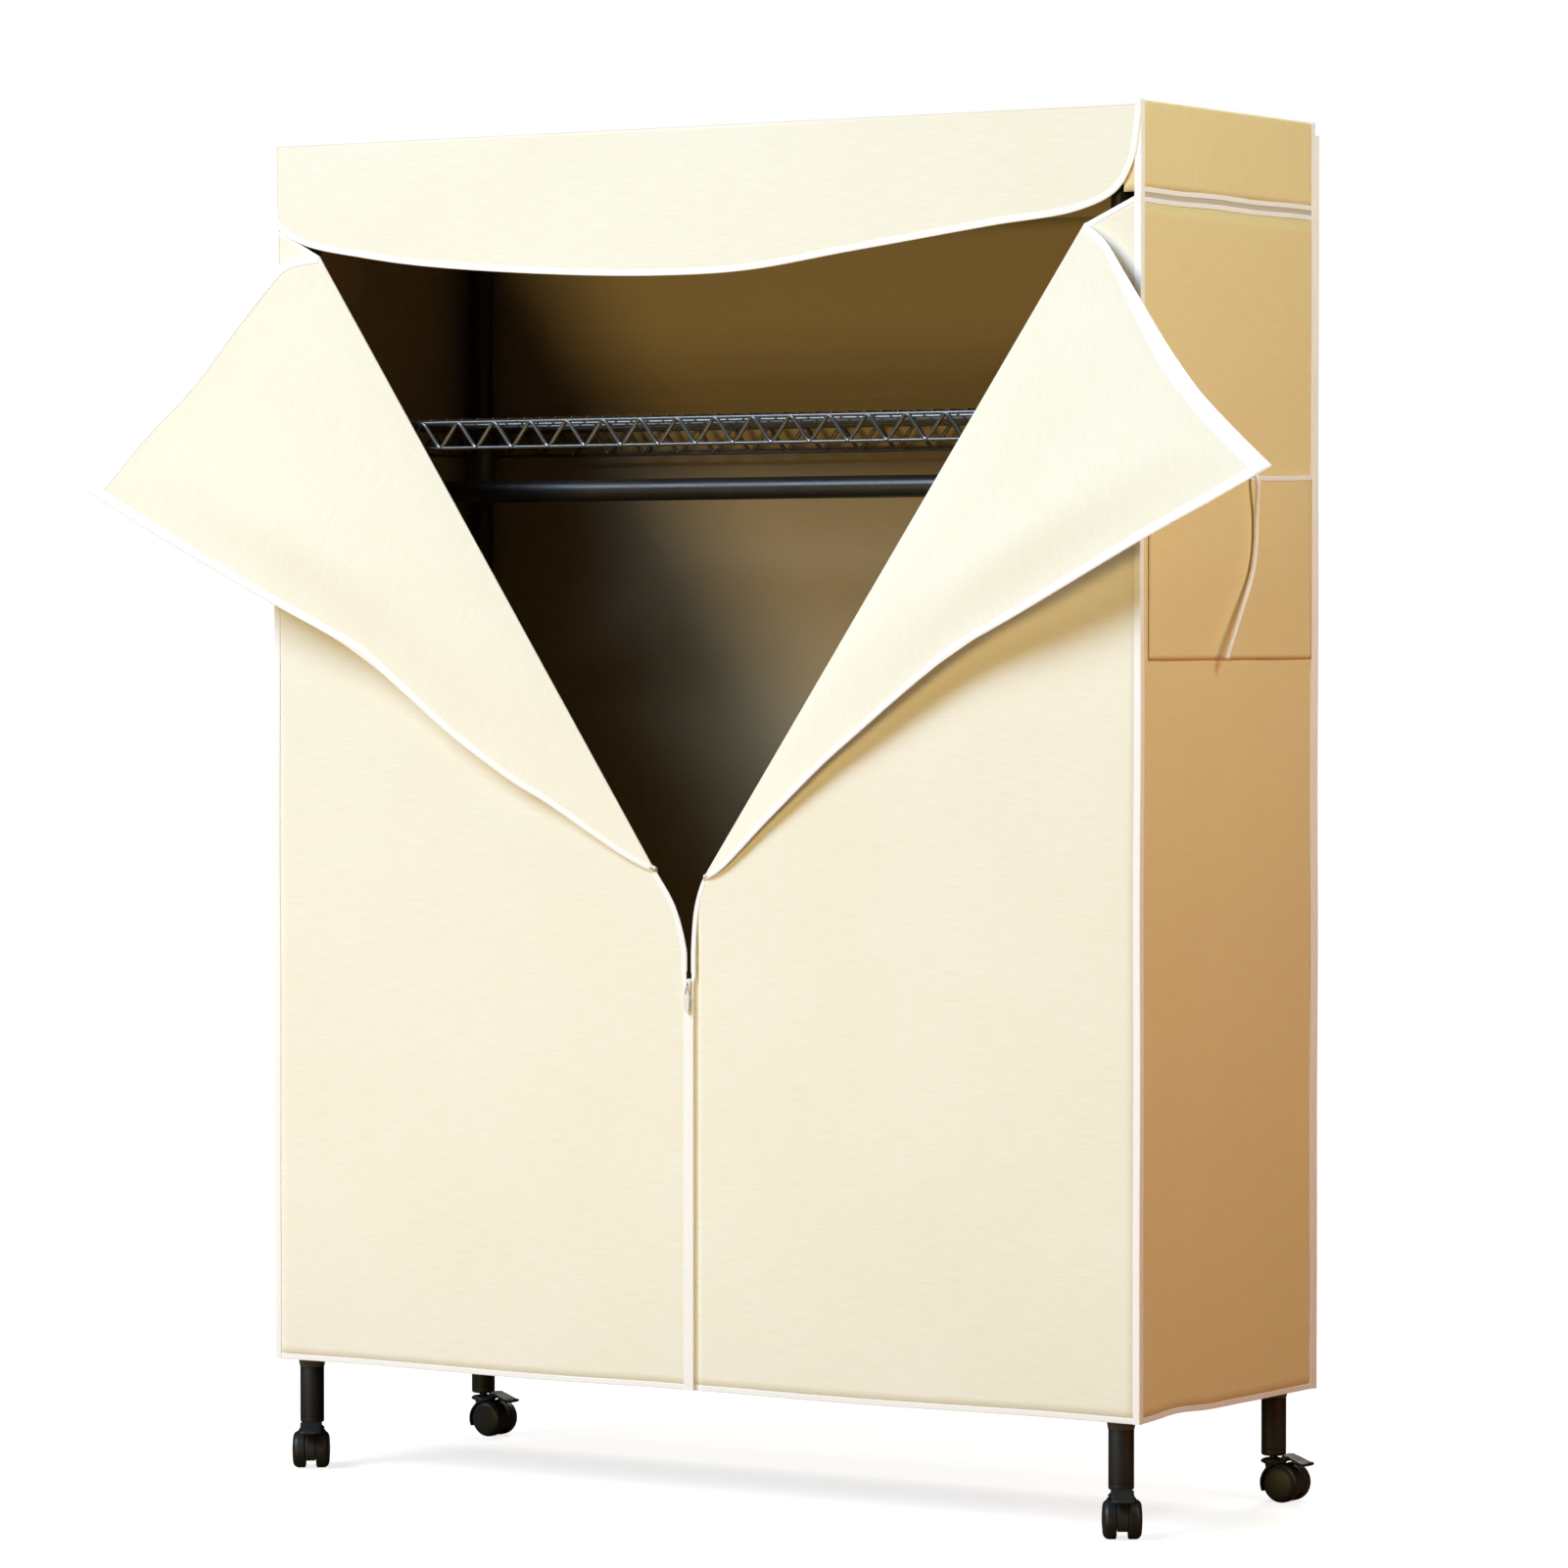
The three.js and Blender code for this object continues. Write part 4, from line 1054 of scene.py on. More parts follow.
def make_shelf(node):
    """Two rims of wire joined by a zigzag on each side, three stays, cross wires on top and
    a collar at each corner."""
    rim_z = high(node)[2] - COLLAR_RISE - RIM_BELOW_COLLAR
    low_z = rim_z + RIM_BELOW_COLLAR - TRUSS_HEIGHT
    mat_z = rim_z + RIM_WIRE + MAT_WIRE * MAT_SEAT
    middle = np.array([MID_X, MID_Y, 0])
    making = Making()

    def straight(start, end, radius, sides=8):
        making.wire(np.array([start, end]) + middle, radius, sides=sides)

    for side in (-1, 1):
        for z, radius in ((rim_z, RIM_WIRE), (low_z, RIM_WIRE * LOW_RIM_SHARE)):
            straight((-POST_X, side * POST_Y, z), (POST_X, side * POST_Y, z), radius, 12)
            straight((side * POST_X, -POST_Y, z), (side * POST_X, POST_Y, z), radius, 12)
        for half, apart, valley in ((POST_X, POST_Y, ZIGZAG_VALLEY_X), (POST_Y, POST_X, 0.0)):
            reach = half - COLLAR_RADIUS + WIRE_TUCK
            run = np.linspace(-reach, reach, int(reach / ZIGZAG_PITCH * ZIGZAG_STEPS))
            height = (rim_z + low_z) / 2 + zigzag_wave(run, valley) * (rim_z - low_z) / 2
            lengthwise = half == POST_X
            x, y = (run, side * apart) if lengthwise else (side * apart, run)
            making.wire(points_of(x, y, height) + middle, ZIGZAG_WIRE, BACK if lengthwise else RIGHT)
    for share in STAY_SHARES:
        straight((-POST_X, share * POST_Y, rim_z), (POST_X, share * POST_Y, rim_z), STAY_WIRE)
    half = POST_Y + RIM_WIRE
    for x in np.arange(-POST_X + MAT_PITCH, POST_X - MAT_PITCH / 2, MAT_PITCH):
        straight((x, -half, mat_z), (x, half, mat_z), MAT_WIRE)
    bottom = low(node)[2] + (BOTTOM_COLLAR_TRIM if node == "bottom_shelf" else 0)
    collar = collar_outline(bottom, high(node)[2], low_z - COLLAR_DROP)
    for centre in POSTS.values():
        making.grid(turned(collar, 40, centre * (1, 1, 0)), around=True)
    making.piece(f"{node}_wires", LIGHTENED_WIRE_COAT, "rack", [node], merge=SAME_POINT, crease_deg=35)


for shelf in ("bottom_shelf", "upper_shelf", "top_shelf"):
    make_shelf(shelf)


# Rack: hanging rod and its brackets
def make_rod_hanger(name, side, rod):
    """A flat strap that hooks over the shelf's wire, and a cup on it that holds the rod."""
    node = f"rod_bracket_{name}"
    inside, outside = sorted([abs(low(node)[0] - MID_X), abs(high(node)[0] - MID_X)])
    cup_back = inside + ROD_CUP_LENGTH
    near, far, top = cup_back + STRAP_INSET, outside - STRAP_INSET, high(node)[2] - STRAP_INSET
    bend, crest = top - STRAP_BEND, top - STRAP_CREST
    x, z = smooth_curve([
        (near, rod[2]), (near, (rod[2] + top) / 2), (near, bend), (near + STRAP_INSET, crest),
        ((near + far) / 2, top), (far - STRAP_INSET, crest), (far, bend),
        (far, low("upper_shelf")[2] + COLLAR_REACH - STRAP_HOOK),
    ], 40).T
    path = points_of(MID_X + side * x, rod[1], z)
    making = Making()
    making.tube(path, superellipse(*STRAP_SECTION, 6, 24), *axes_along(path, BACK))
    bore, rim, end = TUBE_RADIUS + FIT, TUBE_RADIUS + ROD_CUP_WALL, cup_back + ROD_CUP_WALL
    front_bevel, back_bevel = ROD_CUP_BEVELS
    cup = [
        (POLE, cup_back), (bore, cup_back), (bore, inside), (rim - front_bevel, inside),
        (rim, inside + front_bevel), (rim, end - back_bevel), (rim - back_bevel, end), (POLE, end),
    ]
    place = (MID_X, rod[1], rod[2])
    making.grid(turned(cup, 48, place, side * RIGHT, BACK), around=True, capped=True)
    making.piece(f"rod_hanger_{name}", COAT, "rack", [node], merge=SAME_POINT)


def make_rod():
    start, end = low("hanging_rod"), high("hanging_rod")
    centre, half = (start + end) / 2, (end[0] - start[0]) / 2
    one_shell(
        turned(tube_outline(-half, half, ROD_EDGE), 56, centre, RIGHT, BACK), "rod_tube", COAT,
        "rack", ["hanging_rod"], capped=False, merge=SAME_POINT,
    )
    for name, side in SIDES.items():
        make_rod_hanger(name, side, centre)


make_rod()


# Castors
def castor_axes(corner):
    """The castor's own axes in the frame: along its trail, along its axle, and up."""
    yaw = math.radians(CASTOR_YAW_DEG[corner])
    trail = np.array([math.cos(yaw), math.sin(yaw), 0])
    return trail, np.array([-math.sin(yaw), math.cos(yaw), 0]), UP


def put(points, corner):
    """Points in a castor's own axes, moved to its corner."""
    return POSTS[corner] * (1, 1, 0) + points @ np.array(castor_axes(corner))


def fender_shell():
    """A crowned shield about the wheels: narrow at its top, wider down its back."""
    angle = np.radians(np.linspace(*FENDER_ANGLES_DEG, 40))
    round_it = points_of(np.cos(angle), 0, np.sin(angle))
    path = np.array([CASTOR_TRAIL, 0, WHEEL_RADIUS]) + FENDER_RADIUS * round_it
    swing = angle - angle[0]
    widening = (FENDER_HALF_WIDTH - FENDER_TOP_HALF_WIDTH) * ease(swing / FENDER_WIDENING)
    half = FENDER_TOP_HALF_WIDTH + widening
    thick = FENDER_HALF_THICKNESS * (1 + FENDER_SWELL * np.sin(swing * FENDER_SWELL_TURN) ** 2)
    shape = superellipse(1, 1, 2.6, 40)
    crown = FENDER_CROWN * (1 - shape[:, 0] ** 2) - FENDER_SINK
    profile = points_of(half[:, None] * shape[:, 0], thick[:, None] * shape[:, 1] + crown)
    return swept(path, profile, BACK, round_it)


def web_shell():
    """The upright plate between the wheels, with a notch below."""
    turn = np.radians(np.linspace(*WEB_ANGLES_DEG, 60))
    reach = WHEEL_RADIUS - WEB_INSET
    edge = points_of(CASTOR_TRAIL + reach * np.cos(turn), WHEEL_RADIUS + reach * np.sin(turn))
    notch = np.radians(np.linspace(180, 0, 12))
    gap = points_of(np.cos(notch), np.sin(notch)) * WEB_NOTCH + (CASTOR_TRAIL, WEB_NOTCH_Z)
    x, z = np.concatenate([edge, gap]).T
    half = WHEEL_GAP / 2 - WEB_SIDE_ROOM
    return points_of(x, np.array([[-half], [half]]), z)


def boss_shell():
    """The swivel's boss with its domed shoulder, and the stem that stands in the foot."""
    stem_top = FOOT_BOTTOM + STEM_REACH
    outline = [
        (POLE, WHEEL_RADIUS), (BOSS_RADIUS, WHEEL_RADIUS),
        *((radius, HOOD_TOP - drop) for radius, drop in BOSS_SHOULDER),
        (STEM_RADIUS + STEM_FILLET, HOOD_TOP), (STEM_RADIUS, HOOD_TOP + STEM_FILLET),
        (STEM_RADIUS, stem_top - STEM_TIP), (STEM_RADIUS - STEM_TIP, stem_top), (POLE, stem_top),
    ]
    return turned(outline, 40)


def pedal_shells():
    """The pedal: a plate carried out and down from its pivot, wider at its rounded tip, with
    three raised grip bars across it, and the pivot's barrel."""
    share = np.linspace(0, 1, 26)
    pivot_x, pivot_z = PEDAL_PIVOT
    lip = PEDAL_LIP * np.clip(share - PEDAL_LIP_FROM, 0, 1) / (1 - PEDAL_LIP_FROM)
    x = pivot_x - PEDAL_ROOT + share * (PEDAL_REACH + PEDAL_ROOT)
    z = pivot_z + PEDAL_RISE - PEDAL_DROP * ease(share * PEDAL_DROP_PACE) + lip
    root, growth = PEDAL_HALF_WIDTHS
    to_tip = np.clip((share - PEDAL_TIP_FROM) / PEDAL_TIP_SPAN, 0, 1)
    rounding = np.sqrt(np.clip(1 - to_tip ** PEDAL_TIP_POWER, 0.02, 1))
    width = (root + growth * ease(share / PEDAL_GROWN_AT)) * rounding
    path = points_of(x, 0, z)
    profile = np.stack([superellipse(w, PEDAL_HALF_THICKNESS, 3.4, 28) for w in width])
    shells = [swept(path, profile, *axes_along(path, UP))]
    for step in GRIP_SHARES:
        k = int(step * (len(share) - 1))
        bar = points_of(x[k], np.linspace(-GRIP_HALF_LENGTH, GRIP_HALF_LENGTH, 6), z[k] + GRIP_RISE)
        shells.append(swept(bar, superellipse(*GRIP_SECTION, 2, 10), *axes_along(bar, UP)))
    (neck, radius), (end, shoulder) = BARREL_RADII, BARREL_ENDS
    barrel = [(POLE, -end), (neck, -end), (radius, -shoulder)]
    barrel += [(r, -h) for r, h in barrel[::-1]]
    shells.append(turned(barrel, 28, (pivot_x, 0, pivot_z), BACK, RIGHT))
    return shells


def wheel_outline():
    """One wheel about its axle, radius and distance out: tread, rounded shoulder, a groove
    round a gently domed cap, and a blind bore."""
    inner = WHEEL_GAP / 2
    outer = inner + WHEEL_WIDTH
    bore, bore_depth = WHEEL_BORE
    shoulder = points_of(
        WHEEL_RADIUS + WHEEL_SHOULDER * (np.cos(quarter(8)) - 1),
        outer - WHEEL_CAP_STAND + WHEEL_SHOULDER * (np.sin(quarter(8)) - 1),
    )
    dome = np.linspace(1, 0, 10)
    cap = points_of(POLE + WHEEL_CAP_RADIUS * dome, outer - WHEEL_CAP_DOME * dome**2)
    return [
        (bore, inner + bore_depth), (bore, inner), (WHEEL_RADIUS - WHEEL_EDGE, inner),
        (WHEEL_RADIUS, inner + WHEEL_EDGE), *shoulder,
        *((radius, outer - depth) for radius, depth in WHEEL_GROOVE), *cap,
    ]


def melt(made):
    """Melts overlapping shells into one moulded skin."""
    remesh = made.modifiers.new("remesh", "REMESH")
    remesh.mode = "VOXEL"
    remesh.voxel_size = MELT_SIZE
    remesh.use_smooth_shade = True
    smooth = made.modifiers.new("smooth", "SMOOTH")
    smooth.factor = 0.5
    smooth.iterations = MELT_SMOOTHING
    settle(made)


def make_castors():
    hood, pedal = [fender_shell(), web_shell(), boss_shell()], pedal_shells()
    for corner in POSTS:
        trail, axle_line, up = castor_axes(corner)
        for shells, piece, node, part in (
            (hood, "hood_shell", "castor_hood", "castor"),
            (pedal, "pedal_lever", "brake_pedal", "pedal"),
        ):
            making = Making()
            for points in shells:
                making.grid(put(points, corner), around=True, capped=True)
            made = making.piece(f"{piece}_{corner}", PLASTIC, None, [f"{node}_{corner}"])
            melt(made)
            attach(made, f"{corner}_{part}")
        hub = POSTS[corner] * (1, 1, 0) + CASTOR_TRAIL * trail + WHEEL_RADIUS * up
        for letter, side in (("a", -1), ("b", 1)):
            one_shell(
                turned(wheel_outline(), 72, hub, side * axle_line, trail),
                f"wheel_{corner}_{letter}", TYRE, f"{corner}_wheel_{letter}",
                [f"castor_wheel_{corner}_{letter}"], crease_deg=30,
            )
        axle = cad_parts[f"castor_axle_{corner}"].data.materials
        axle.clear()
        axle.append(STEEL)


make_castors()


# Cover: shared makers
def shade_inside(cloth):
    """The faces that look into the cover get a dark tan copy of the cloth, painted shade of the
    cover's inside: a face looks in where its direction and its place, both seen from the cover's
    middle, point apart."""
    faces = cloth.data.polygons
    facing, centre = np.zeros((2, 3 * len(faces)), np.float32)
    faces.foreach_get("normal", facing)
    faces.foreach_get("center", centre)
    place = centre.reshape(-1, 3) - (MID_X, (FRONT_Y + BACK_Y) / 2, TOP_Z / 2)
    painted_inside = np.sum(facing.reshape(-1, 3) * place, axis=1) < 0
    cloth.data.materials.append(INSIDE_SHADE)
    faces.foreach_set("material_index", painted_inside.astype(np.int32))


def cloth_piece(making, name, body, replaces, finish=CREAM):
    """A piece of cloth: its surface given a thickness."""
    cloth = making.piece(
        name, finish, None, replaces, merge=SEWN_POINT, crease_deg=60, outward=False
    )
    skin = cloth.modifiers.new("thickness", "SOLIDIFY")
    skin.thickness = CLOTH
    skin.offset = 0
    skin.use_even_offset = False
    settle(cloth)
    if body:
        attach(cloth, body)
    return cloth


def strip(name, path, across, away, width, thickness=BINDING_THICKNESS,
          overhang=BINDING_OVERHANG, body="rack", replaces=()):
    """A binding folded over an edge: a flat rounded profile carried along the edge. across
    points from the edge into the cloth, away is square to the cloth, and the width may change
    along the way."""
    width = np.broadcast_to(np.asarray(width, float), len(path))[:, None]
    shape = superellipse(1, 1, 5, 24)
    profile = points_of(width / 2 * (1 + shape[:, 0]) - overhang, thickness / 2 * shape[:, 1])
    columns = np.concatenate([profile[..., 0], profile[:, :1, 0]], axis=1) + overhang
    places = points_of(width - columns, distances(path)[:, None])
    return one_shell(swept(path, profile, across, away), name, WHITE, body, replaces, places)


def chain_teeth(making, path, across, away, half_width, depth):
    """Zip teeth: small tapered bars at even steps along a path."""
    tooth = [(*corner, end) for end in (-TOOTH_SHARE, TOOTH_SHARE) for corner in TOOTH_SECTION]
    faces = np.array([
        (0, 1, 2, 3), (7, 6, 5, 4), (0, 4, 5, 1), (1, 5, 6, 2), (2, 6, 7, 3), (3, 7, 4, 0)
    ])
    total = distances(path)[-1]
    at = np.linspace(0, total, int(total / CHAIN_PITCH))
    a, b = (unit(at_distances(path, axis, at)) for axis in (across, away))
    making.copies(
        np.array(tooth) * (half_width, depth, CHAIN_PITCH), faces, at_distances(path, path, at),
        np.stack([a, b, np.cross(a, b)], axis=1),
    )


# Cover: doors, each a panel that turns over its fold into a flap
def door_waves(x, z, inner_x, outer_x):
    """Soft hollows of hanging cloth, strongest low down, none at the corner seam or the top."""
    share = (x - outer_x) / (inner_x - outer_x)
    rise = np.clip((z - HEM_Z) / (PANEL_TOP_Z - HEM_Z), 0, 1)
    mask = arch(share, 0.7) * (1 - 0.75 * rise)
    sway = np.sin(2 * np.pi * (x / SWAY_PITCH + 0.35 * np.sin(2.4 * z)) + 0.7)
    cross = wave(z / CROSS_PITCH + 0.6 * x)
    return mask * (SWAY_DEPTH * sway + CROSS_DEPTH * cross + DOOR_HOLLOW)


def inner_edge(spec, zip_x):
    """The door's inner edge from its hem up the zip, round the bend and up the fold, and the
    fold's own points, all in X and Z."""
    top, end = np.array(spec["fold"])
    fold_line = (top - end) / np.linalg.norm(top - end)
    bend_z = SLIT_TOP_Z - BEND_DROP
    straight = points_of(zip_x, np.linspace(HEM_Z, bend_z, 34))
    curl = smooth_curve([
        (zip_x, SLIT_TOP_Z - 3 * BEND_DROP), (zip_x, bend_z), spec["bend"], end,
        end + BEND_LEAD * fold_line,
    ], 120)
    from_slit = np.argmin(np.abs(curl[:, 1] - bend_z))
    to_fold = np.argmin(np.linalg.norm(curl - end, axis=1))
    curl = even_steps(curl[from_slit:to_fold + 1], 22)
    curl[-1] = end
    fold = end + np.linspace(0, 1, FOLD_ROWS)[:, None] * (top - end)
    return np.concatenate([straight, curl[1:], fold[1:]]), fold


def door_panel(spec, inner, corner_x, panel_y):
    """The panel between its corner seam and its inner edge, hollowed and waved, with a ridge
    beside the closed zip. Also each point's place on the flat cloth."""
    rise = (inner[:, 1] - HEM_Z) / (spec["fold"][0][1] - HEM_Z)
    outer = points_of(corner_x, HEM_Z + rise * (PANEL_TOP_Z + CORNER_LIFT - HEM_Z))
    share = 1 - np.linspace(1, 0, 68) ** 2
    flat = outer[:, None] + share[:, None] * (inner - outer)[:, None]
    x, z = flat[..., 0], flat[..., 1]
    gap = np.abs(share - 1) * np.linalg.norm(inner - outer, axis=1)[:, None]
    calm = np.where(z > SLIDER_TOP_Z, ease(gap / SLIT_CALM), ease(gap / ZIP_CALM))
    ridge = np.exp(-(((gap - RIDGE_GAP) / RIDGE_SPREAD) ** 2))
    ridge = spec["beside_zip"] * ridge * ease((SLIT_TOP_Z + RIDGE_END - z) / RIDGE_FADE)
    y = panel_y + (door_waves(x, z, inner[:, :1], corner_x) * calm + ridge)
    near_hem = ease(1 - (z - HEM_Z) / HEM_WAVE_REACH)
    hem = HEM_WAVE * arch(share) * wave(0.9 * share + 0.15) * near_hem
    return points_of(x, y, z + hem), flat


def flap_patch(spec, side, flap_y):
    """The flap in its plane and lifted off the door: a patch filled between its straight
    fold, its upper edge, its outer edge and its lower edge, with a crown. Also its places on
    the flat cloth, as distances along the fold and out from it, and those two directions."""
    top, end = (np.array([x, flap_y, z]) for x, z in spec["fold"])
    length = np.linalg.norm(end - top)
    along = (end - top) / length
    level = np.array([side * abs(along[2]), 0, -abs(along[0])])
    lift = math.asin(FLAP_STAND_OFF / FLAP_REACH)
    out = level * math.cos(lift) + FRONT * math.sin(lift)
    away = np.cross(along, out)
    away = away * -np.sign(away[1])
    upper, outer, lower = (
        smooth_curve(np.array(spec[name]) * (length, FLAP_REACH), 160)
        for name in ("upper", "outer", "lower")
    )
    rim = np.concatenate([upper, outer, lower])
    outer = even_steps(outer, FOLD_ROWS)[:, None]
    upper, lower = (even_steps(edge, FLAP_COLUMNS)[None] for edge in (upper, lower))
    u = np.linspace(0, 1, FOLD_ROWS)[:, None, None]
    v = np.linspace(0, 1, FLAP_COLUMNS)[None, :, None]
    flat = (
        v * outer + (1 - u) * upper + u * lower - (1 - u) * v * outer[:1] - u * v * outer[-1:]
    )
    crown = FLAP_BULGE * arch(u) * arch(v)
    ripple = FLAP_RIPPLE * wave(1.3 * v + 0.8 * u) * arch(v) * ease(4 * v)
    roll = ROLL_HEIGHT * (1 - np.exp(-flat[..., 1:] / ROLL_SPREAD)) * arch(u, 1.2) * (1 - v * v)
    from_rim = np.min(np.linalg.norm(flat[:, :, None] - rim, axis=-1), axis=-1)[..., None]
    rise = (crown + ripple + roll) * ease(from_rim / CALM_RIM)
    points = top + flat[..., :1] * along + flat[..., 1:] * out + rise * away
    return points[::-1], flat[::-1], along, level


def blend_door(piece):
    """Bakes the piece's placement into its mesh."""
    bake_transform(piece)


def slanted(across, tangent, edge, share):
    """A strip's across, turned towards another edge where the share nears 1, and drawn out so
    that the strip keeps its width: its end is then cut along that edge."""
    edge = unit(edge)
    level = edge / np.linalg.norm(edge - edge @ tangent[-1] * tangent[-1])
    return across + ease(share)[:, None] * (level - across)


def make_zip_edge(name, side, inner, patch, panel_y):
    """The open half of the zip's tape: one strip up the slit, over the fold's end, where it
    turns over with the cloth, and along the flap's free edge to its tip."""
    spec = DOORS[name]
    rise = inner[inner[:, 1] <= spec["fold"][1][1] + SEWN_POINT]
    panel_part = points_of(rise[:, 0], panel_y, rise[:, 1])
    lower, outer = patch[0], patch[:, -1]
    route = np.concatenate([panel_part, lower[1:], outer[1:]])
    joint, total = distances(panel_part)[-1], distances(route)[-1]
    corner = joint + distances(lower)[-1]
    facing = np.cross(*np.gradient(patch, axis=(0, 1)))
    facing = unit(facing * -np.sign(facing[..., 1:2]))
    towards_room = np.concatenate([
        np.tile(FRONT, (len(panel_part), 1)), facing[2, 1:-2], facing[[2, 2], -3],
        facing[1:, -3],
    ])
    fine = joint + np.linspace(-FINE_REACH, FINE_REACH, 121)
    at = np.unique(np.concatenate([np.linspace(0, total, 400), fine]))
    path, towards_room = at_distances(route, route, at), at_distances(route, towards_room, at)
    near = (np.abs(at - joint) < CALM_REACH)[:, None]
    for _ in range(CALM_ROUNDS):
        calm = path.copy()
        calm[1:-1] = (path[:-2] + 2 * path[1:-1] + path[2:]) / 4
        path = np.where(near, calm, path)
    tangent = along_path(path)
    turn = (math.pi * ease((at - joint + TURN_OVER) / (2 * TURN_OVER)))[:, None]
    base = unit(np.cross(-side * towards_room, tangent))
    across = square_to(np.cos(turn) * base + np.sin(turn) * square_to(BACK, tangent), tangent)
    away = np.cross(across, tangent)
    parting = SLIDER_TOP_Z + PARTING_RISE - HEM_Z
    before, past = TAPE_CHANGE
    stations = [parting - PARTING_LENGTH, parting, joint - before, joint + past, corner, total]
    widths = np.interp(at, stations, [CLOSED_TAPE, spec["slit"], spec["slit"], *FLAP_TAPE])
    across = slanted(
        across, tangent, patch[-1, -3] - patch[-1, -1], (at - total) / TIP_SLANT + 1
    )
    tape = strip(
        f"{name}_zip_tape", path, across, away, widths, overhang=TAPE_OVERHANG, body=None
    )
    blend_door(tape)
    parted = at > parting + PARTING_RISE
    path, across, away = path[parted], across[parted], away[parted]
    teeth = Making()
    chain_teeth(teeth, path - TAPE_OVERHANG * across, across, away, *OPEN_TEETH)
    blend_door(teeth.piece(f"{name}_zip_teeth", WHITE))


def make_flap_band(name, patch):
    """The binding of the flap's upper edge: it widens from the fold and ends along the outer
    edge."""
    edge = patch[-1]
    total = distances(edge)[-1]
    at = np.linspace(0, total, 90)
    path, across = (at_distances(edge, values, at) for values in (edge, patch[-3] - edge))
    tangent = along_path(path)
    narrow, wide = DOORS[name]["band"]
    widths = narrow + (wide - narrow) * ease(at / total * FLAP_BINDING_PACE)
    across = square_to(across, tangent)
    away = np.cross(across, tangent)
    cut = (at / total - 1) / FLAP_BINDING_CUT + 1
    across = slanted(across, tangent, patch[-3, -1] - patch[-1, -1], cut)
    band = strip(
        f"{name}_flap_band", path, across, away, widths, FLAP_BINDING, TAPE_OVERHANG, body=None
    )
    blend_door(band)


def make_door(name, side):
    """One cloth from the corner seam over the fold into the flap. A half roll of cloth joins
    the panel's inner edge to the flap, which lies in front."""
    spec = DOORS[name]
    panel_y = FRONT_Y + DOOR_INSET
    flap_y = panel_y - 2 * FOLD_RADIUS
    corner_x = (LEFT_X if side < 0 else RIGHT_X) - side * CORNER_INSET
    zip_x = MID_X + side * ZIP_EDGE
    inner, fold = inner_edge(spec, zip_x)
    door = Making()
    panel, flat = door_panel(spec, inner, corner_x, panel_y)
    door.grid(panel, flat)

    patch, places, along, level = flap_patch(spec, side, flap_y)
    turn = np.linspace(0, math.pi, 9)[:, None]
    line = points_of(fold[:, 0], (panel_y + flap_y) / 2, fold[:, 1])[:, None]
    roll = line + FOLD_RADIUS * (BACK * np.cos(turn) - level * np.sin(turn))
    inward = -level[[0, 2]]
    roll_place = fold[:, None] + inward * FOLD_RADIUS * turn
    cut = np.array(spec["fold"][0]) + places[..., :1] * along[[0, 2]] + places[..., 1:] * inward
    door.grid(
        np.concatenate([roll, patch[:, 1:]], axis=1),
        np.concatenate([roll_place, cut[:, 1:]], axis=1),
    )
    cloth = cloth_piece(
        door, f"{name}_door_cloth", None, [f"front_{name}_panel", f"{name}_flap"],
    )
    blend_door(cloth)
    strip(f"{name}_door_hem", panel[0], UP, FRONT, HEM_WIDTH)
    down = square_to(-UP, along_path(panel[-1]))
    strip(f"{name}_door_top_binding", panel[-1], down, FRONT, HEM_WIDTH)
    make_flap_band(name, patch)
    make_zip_edge(name, side, inner, patch, panel_y)


for door_name, door_side in SIDES.items():
    make_door(door_name, door_side)


# Cover: zip
def make_closed_zip():
    """The closed half: one band of tape in front, with the chain of teeth behind it."""
    z = np.linspace(HEM_Z - HEM_TUCK, high("zip_tape")[2], 80)
    path = points_of(MID_X, FRONT_Y - BAND_AHEAD, z)
    profile = superellipse(BAND_HALF_WIDTH, BAND_HALF_THICKNESS, 5, 32)
    columns = BAND_HALF_WIDTH - np.abs(np.append(profile[:, 0], profile[0, 0]))
    making = Making()
    making.tube(path, profile, RIGHT, FRONT, points_of(columns, distances(path)[:, None]))
    chain_teeth(making, path + BACK * TEETH_BEHIND, RIGHT, BACK, *CLOSED_TEETH)
    making.piece("zip_chain_tape", WHITE, "rack", ["zip_tape"])


def make_slider():
    """A plate that widens upwards, with a rail along each edge and a bail over it."""
    slider_low, slider_high = low("zip_slider"), high("zip_slider")
    centre_z = (slider_low[2] + slider_high[2]) / 2
    share = np.linspace(-1, 1, 25)
    waist, growth, pinch = SLIDER_HALF_WIDTHS
    half = waist + growth * ease((share + 1) / 2) + pinch * np.cos(np.pi * share)
    half = half * np.sqrt(np.clip(1 - np.abs(share) ** 9 * 0.75, 0.02, 1))
    plate_y = slider_high[1] - SLIDER_SINK
    path = points_of(MID_X, plate_y, centre_z + share * SLIDER_HALF_LENGTH)
    making = Making()
    plate = np.stack([superellipse(w, SLIDER_HALF_THICKNESS, 4, 24) for w in half])
    making.tube(path, plate, RIGHT, FRONT)
    for side in (-1, 1):
        rail = points_of(MID_X + side * RAIL_X, slider_high[1] - RAIL_SINK, path[3:-3, 2])
        making.tube(rail, superellipse(*RAIL_SECTION, 4, 12), RIGHT, FRONT)
    turn = np.linspace(0, math.pi, 24)
    bail = points_of(
        MID_X, plate_y - BAIL_HEIGHT * np.sin(turn) ** 0.7 - BAIL_LIFT,
        centre_z - BAIL_HALF_LENGTH * np.cos(turn),
    )
    making.tube(bail, superellipse(*BAIL_SECTION, 3, 14), *axes_along(bail, (0, -1, 0.01)))
    making.piece("slider_body", ENAMEL, "slider", ["zip_slider"])


